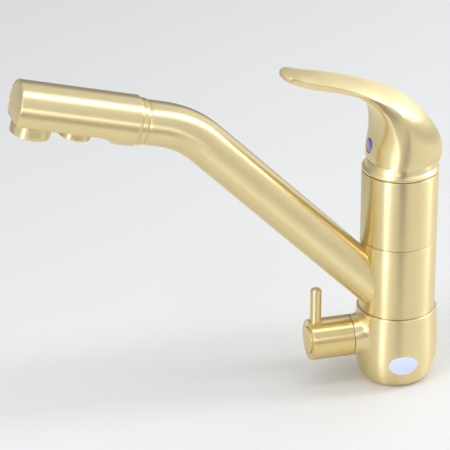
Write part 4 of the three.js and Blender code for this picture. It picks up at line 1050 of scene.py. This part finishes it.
def hollowLever(lever):
    # room under the lever for the dome cap when it lifts, for the stem and for the mark
    foot, rear, flat = tap["leverFoot"], leverRoom["rear"], leverRoom["rearFrom"]
    ceiling, sharp = foot + leverRoom["skirtCeiling"], leverDetail["sharp"]
    drill(lever, leverRoom["skirt"], foot - 1, ceiling, 128, None, sharp)
    reach = math.acos(flat / rear)
    arc = [(rear * math.cos(reach * k / 40), rear * math.sin(reach * k / 40)) for k in range(-40, 41)]
    rows = [[Vector((x, y, foot + z)) for x, y in arc] for z in (-1, leverRoom["rearCeiling"])]
    combine(lever, skin("rearRoom", rows), "DIFFERENCE", sharp)
    bossOutline = [(leverRoom["boss"], ceiling), (leverRoom["boss"], foot + leverRoom["bossTop"])]
    combine(lever, turned("stemBoss", bossOutline, 64), "UNION", sharp)
    half = leverRoom["socket"]
    square = [(-half, -half), (half, -half), (half, half), (-half, half)]
    rows = [[Vector((x, y, foot + z)) for x, y in square] for z in (-1, leverRoom["socketTop"])]
    combine(lever, skin("stemSocket", rows), "DIFFERENCE", sharp)
    drill(lever, leverRoom["mark"], *leverRoom["markReach"], 64, markPlace, sharp)
    return lever


def makeMark():
    radius, top = mark["radius"], mark["top"]
    outline = softOutline([
        (radius, mark["foot"], 0), (radius, top, mark["edge"]), (0.3, top + mark["dome"], 0),
    ], 5)
    return turned("mark_button", outline, 64, markPlace)


dress(hollowLever(makeLever()), "leverGold", "lever", "lever_handle")
dress(makeMark(), "mark", "lever", "hot_cold_mark", slot="mark")
print("lever made")

# pieces that keep their own solids, with the finish of their slot
slotFinish = {
    "raw_brass": "rawBrass", "steel": "steel", "rubber": "rubber", "white_plastic": "whitePlastic",
    "grey_plastic": "greyPlastic", "ceramic": "ceramic", "hose": "hose",
}
slotOf = {row["node"]: row["material_slot"] for row in frame["record"]["subparts"]}
for nodeName, node in nodes.items():
    if node.hide_render or slotOf[nodeName] not in slotFinish:
        continue
    node.data.materials.clear()
    node.data.materials.append(finishes[slotFinish[slotOf[nodeName]]])
print("inner pieces dressed")

# floor and light, in metres
floorSettings = {
    "size": 12.0, "pale": (0.72, 0.705, 0.65), "warm": (0.75, 0.735, 0.68), "paintedShade": (0.16, 0.16, 0.155),
    "paleUntil": -0.23, "shadeFrom": -0.50, "left": (-0.50, -0.78), "right": (-0.06, 0.18),
}


def makeFloor():
    # pale sheet with painted shade: its colour darkens to a dark patch well in front of the picture, which
    # the metal reflects as dark bands
    bm = bmesh.new()
    bmesh.ops.create_grid(bm, x_segments=8, y_segments=8, size=floorSettings["size"] / 2)
    mesh = bpy.data.meshes.new("paleFloor")
    bm.to_mesh(mesh)
    bm.free()
    floor = bpy.data.objects.new("paleFloor", mesh)
    bpy.context.scene.collection.objects.link(floor)
    material, tree, shader, place = newMaterial("paleFloor")
    mottle = addEffect(tree, "mottle", place, Patch_Scale=1.5)
    sheet = mixColour(tree, mottle.outputs["Mottle"], floorSettings["pale"], floorSettings["warm"])
    x, y, _ = splitAxes(tree, place)
    # painted shade: a dark patch in the floor's colour in front of the tap, bounded on its left and right
    paintedShade = addFade(tree, y, floorSettings["paleUntil"], floorSettings["shadeFrom"])
    for side in ("left", "right"):
        within = addFade(tree, x, *floorSettings[side], 1.0, 0.0)
        paintedShade = addMath(tree, "MULTIPLY", paintedShade, within)
    tree.links.new(mixColour(tree, paintedShade, sheet, floorSettings["paintedShade"]), shader.inputs["Base Color"])
    shader.inputs["Roughness"].default_value = 0.7
    shader.inputs["Specular IOR Level"].default_value = 0.2
    mesh.materials.append(material)


def addFade(tree, value, start, end, low=0.0, high=1.0):
    fade = tree.nodes.new("ShaderNodeMapRange")
    fade.interpolation_type = "SMOOTHSTEP"
    for label, number in (("From Min", start), ("From Max", end), ("To Min", low), ("To Max", high)):
        fade.inputs[label].default_value = number
    tree.links.new(value, fade.inputs["Value"])
    return fade.outputs[0]


makeFloor()

# each lamp has a middle, a point that it faces, a size and its watts
lamps = {
    "leftStrip": ((-0.97, -0.66, 0.60), (-0.08, 0, 0.12), (0.12, 1.1), 4.3),
    "rightStrip": ((0.95, -0.11, 0.82), (-0.08, 0, 0.12), (0.24, 0.95), 6.0),
    "topStrip": ((-0.08, -0.40, 1.36), (-0.08, 0, 0.12), (1.8, 0.24), 4.6),
    "frontStrip": ((-0.56, -0.60, 0.29), (-0.50, 0, 0.24), (0.70, 0.09), 0.95),
    "rearPanel": ((0.97, 0.64, 0.62), (-0.05, 0, 0.15), (1.0, 0.9), 2.3),
}
lampColour = (0.95, 0.98, 1.10)


def makeLamps():
    for name, (middle, faces, size, watts) in lamps.items():
        data = bpy.data.lights.new(name, "AREA")
        data.shape = "RECTANGLE"
        data.size, data.size_y = size
        data.energy = watts
        data.color = lampColour
        light = bpy.data.objects.new(name, data)
        back = Vector(middle) - Vector(faces)
        light.location = middle
        light.rotation_euler = back.to_track_quat("Z", "Y").to_euler()
        bpy.context.scene.collection.objects.link(light)


worldSettings = {
    "bright": 0.86, "front": 0.08, "frontAzimuth": math.radians(-19), "frontHalf": math.radians(13),
    "frontEdge": math.radians(24), "rear": 0.42, "rearDepth": (0.05, 0.55), "rearHeight": (0.80, 0.40),
    "colour": (0.95, 0.98, 1.07),
}


def makeWorld():
    # white room, dimmer low at the back, with a dark upright gap in front where the photographer stands
    world = bpy.data.worlds.new("studio")
    world.use_nodes = True
    tree = world.node_tree
    background = tree.nodes["Background"]
    place = tree.nodes.new("ShaderNodeTexCoord")
    x, y, z = splitAxes(tree, place.outputs["Generated"])
    azimuth = addMath(tree, "ARCTAN2", x, addMath(tree, "MULTIPLY", y, -1.0))
    off = addMath(tree, "ABSOLUTE", addMath(tree, "SUBTRACT", azimuth, worldSettings["frontAzimuth"]))
    level = addFade(
        tree, off, worldSettings["frontHalf"], worldSettings["frontEdge"],
        worldSettings["front"], worldSettings["bright"],
    )
    rearward = addFade(tree, y, *worldSettings["rearDepth"])
    low = addFade(tree, z, *worldSettings["rearHeight"])
    lowAndRear = addMath(tree, "MULTIPLY", rearward, low)
    dim = addMath(tree, "MULTIPLY_ADD", lowAndRear, worldSettings["rear"] - 1, 1.0)
    tree.links.new(addMath(tree, "MULTIPLY", level, dim), background.inputs["Strength"])
    background.inputs["Color"].default_value = (*worldSettings["colour"], 1)
    bpy.context.scene.world = world


makeLamps()
makeWorld()
bpy.context.scene.view_settings.view_transform = "Standard"
print("floor and light made")
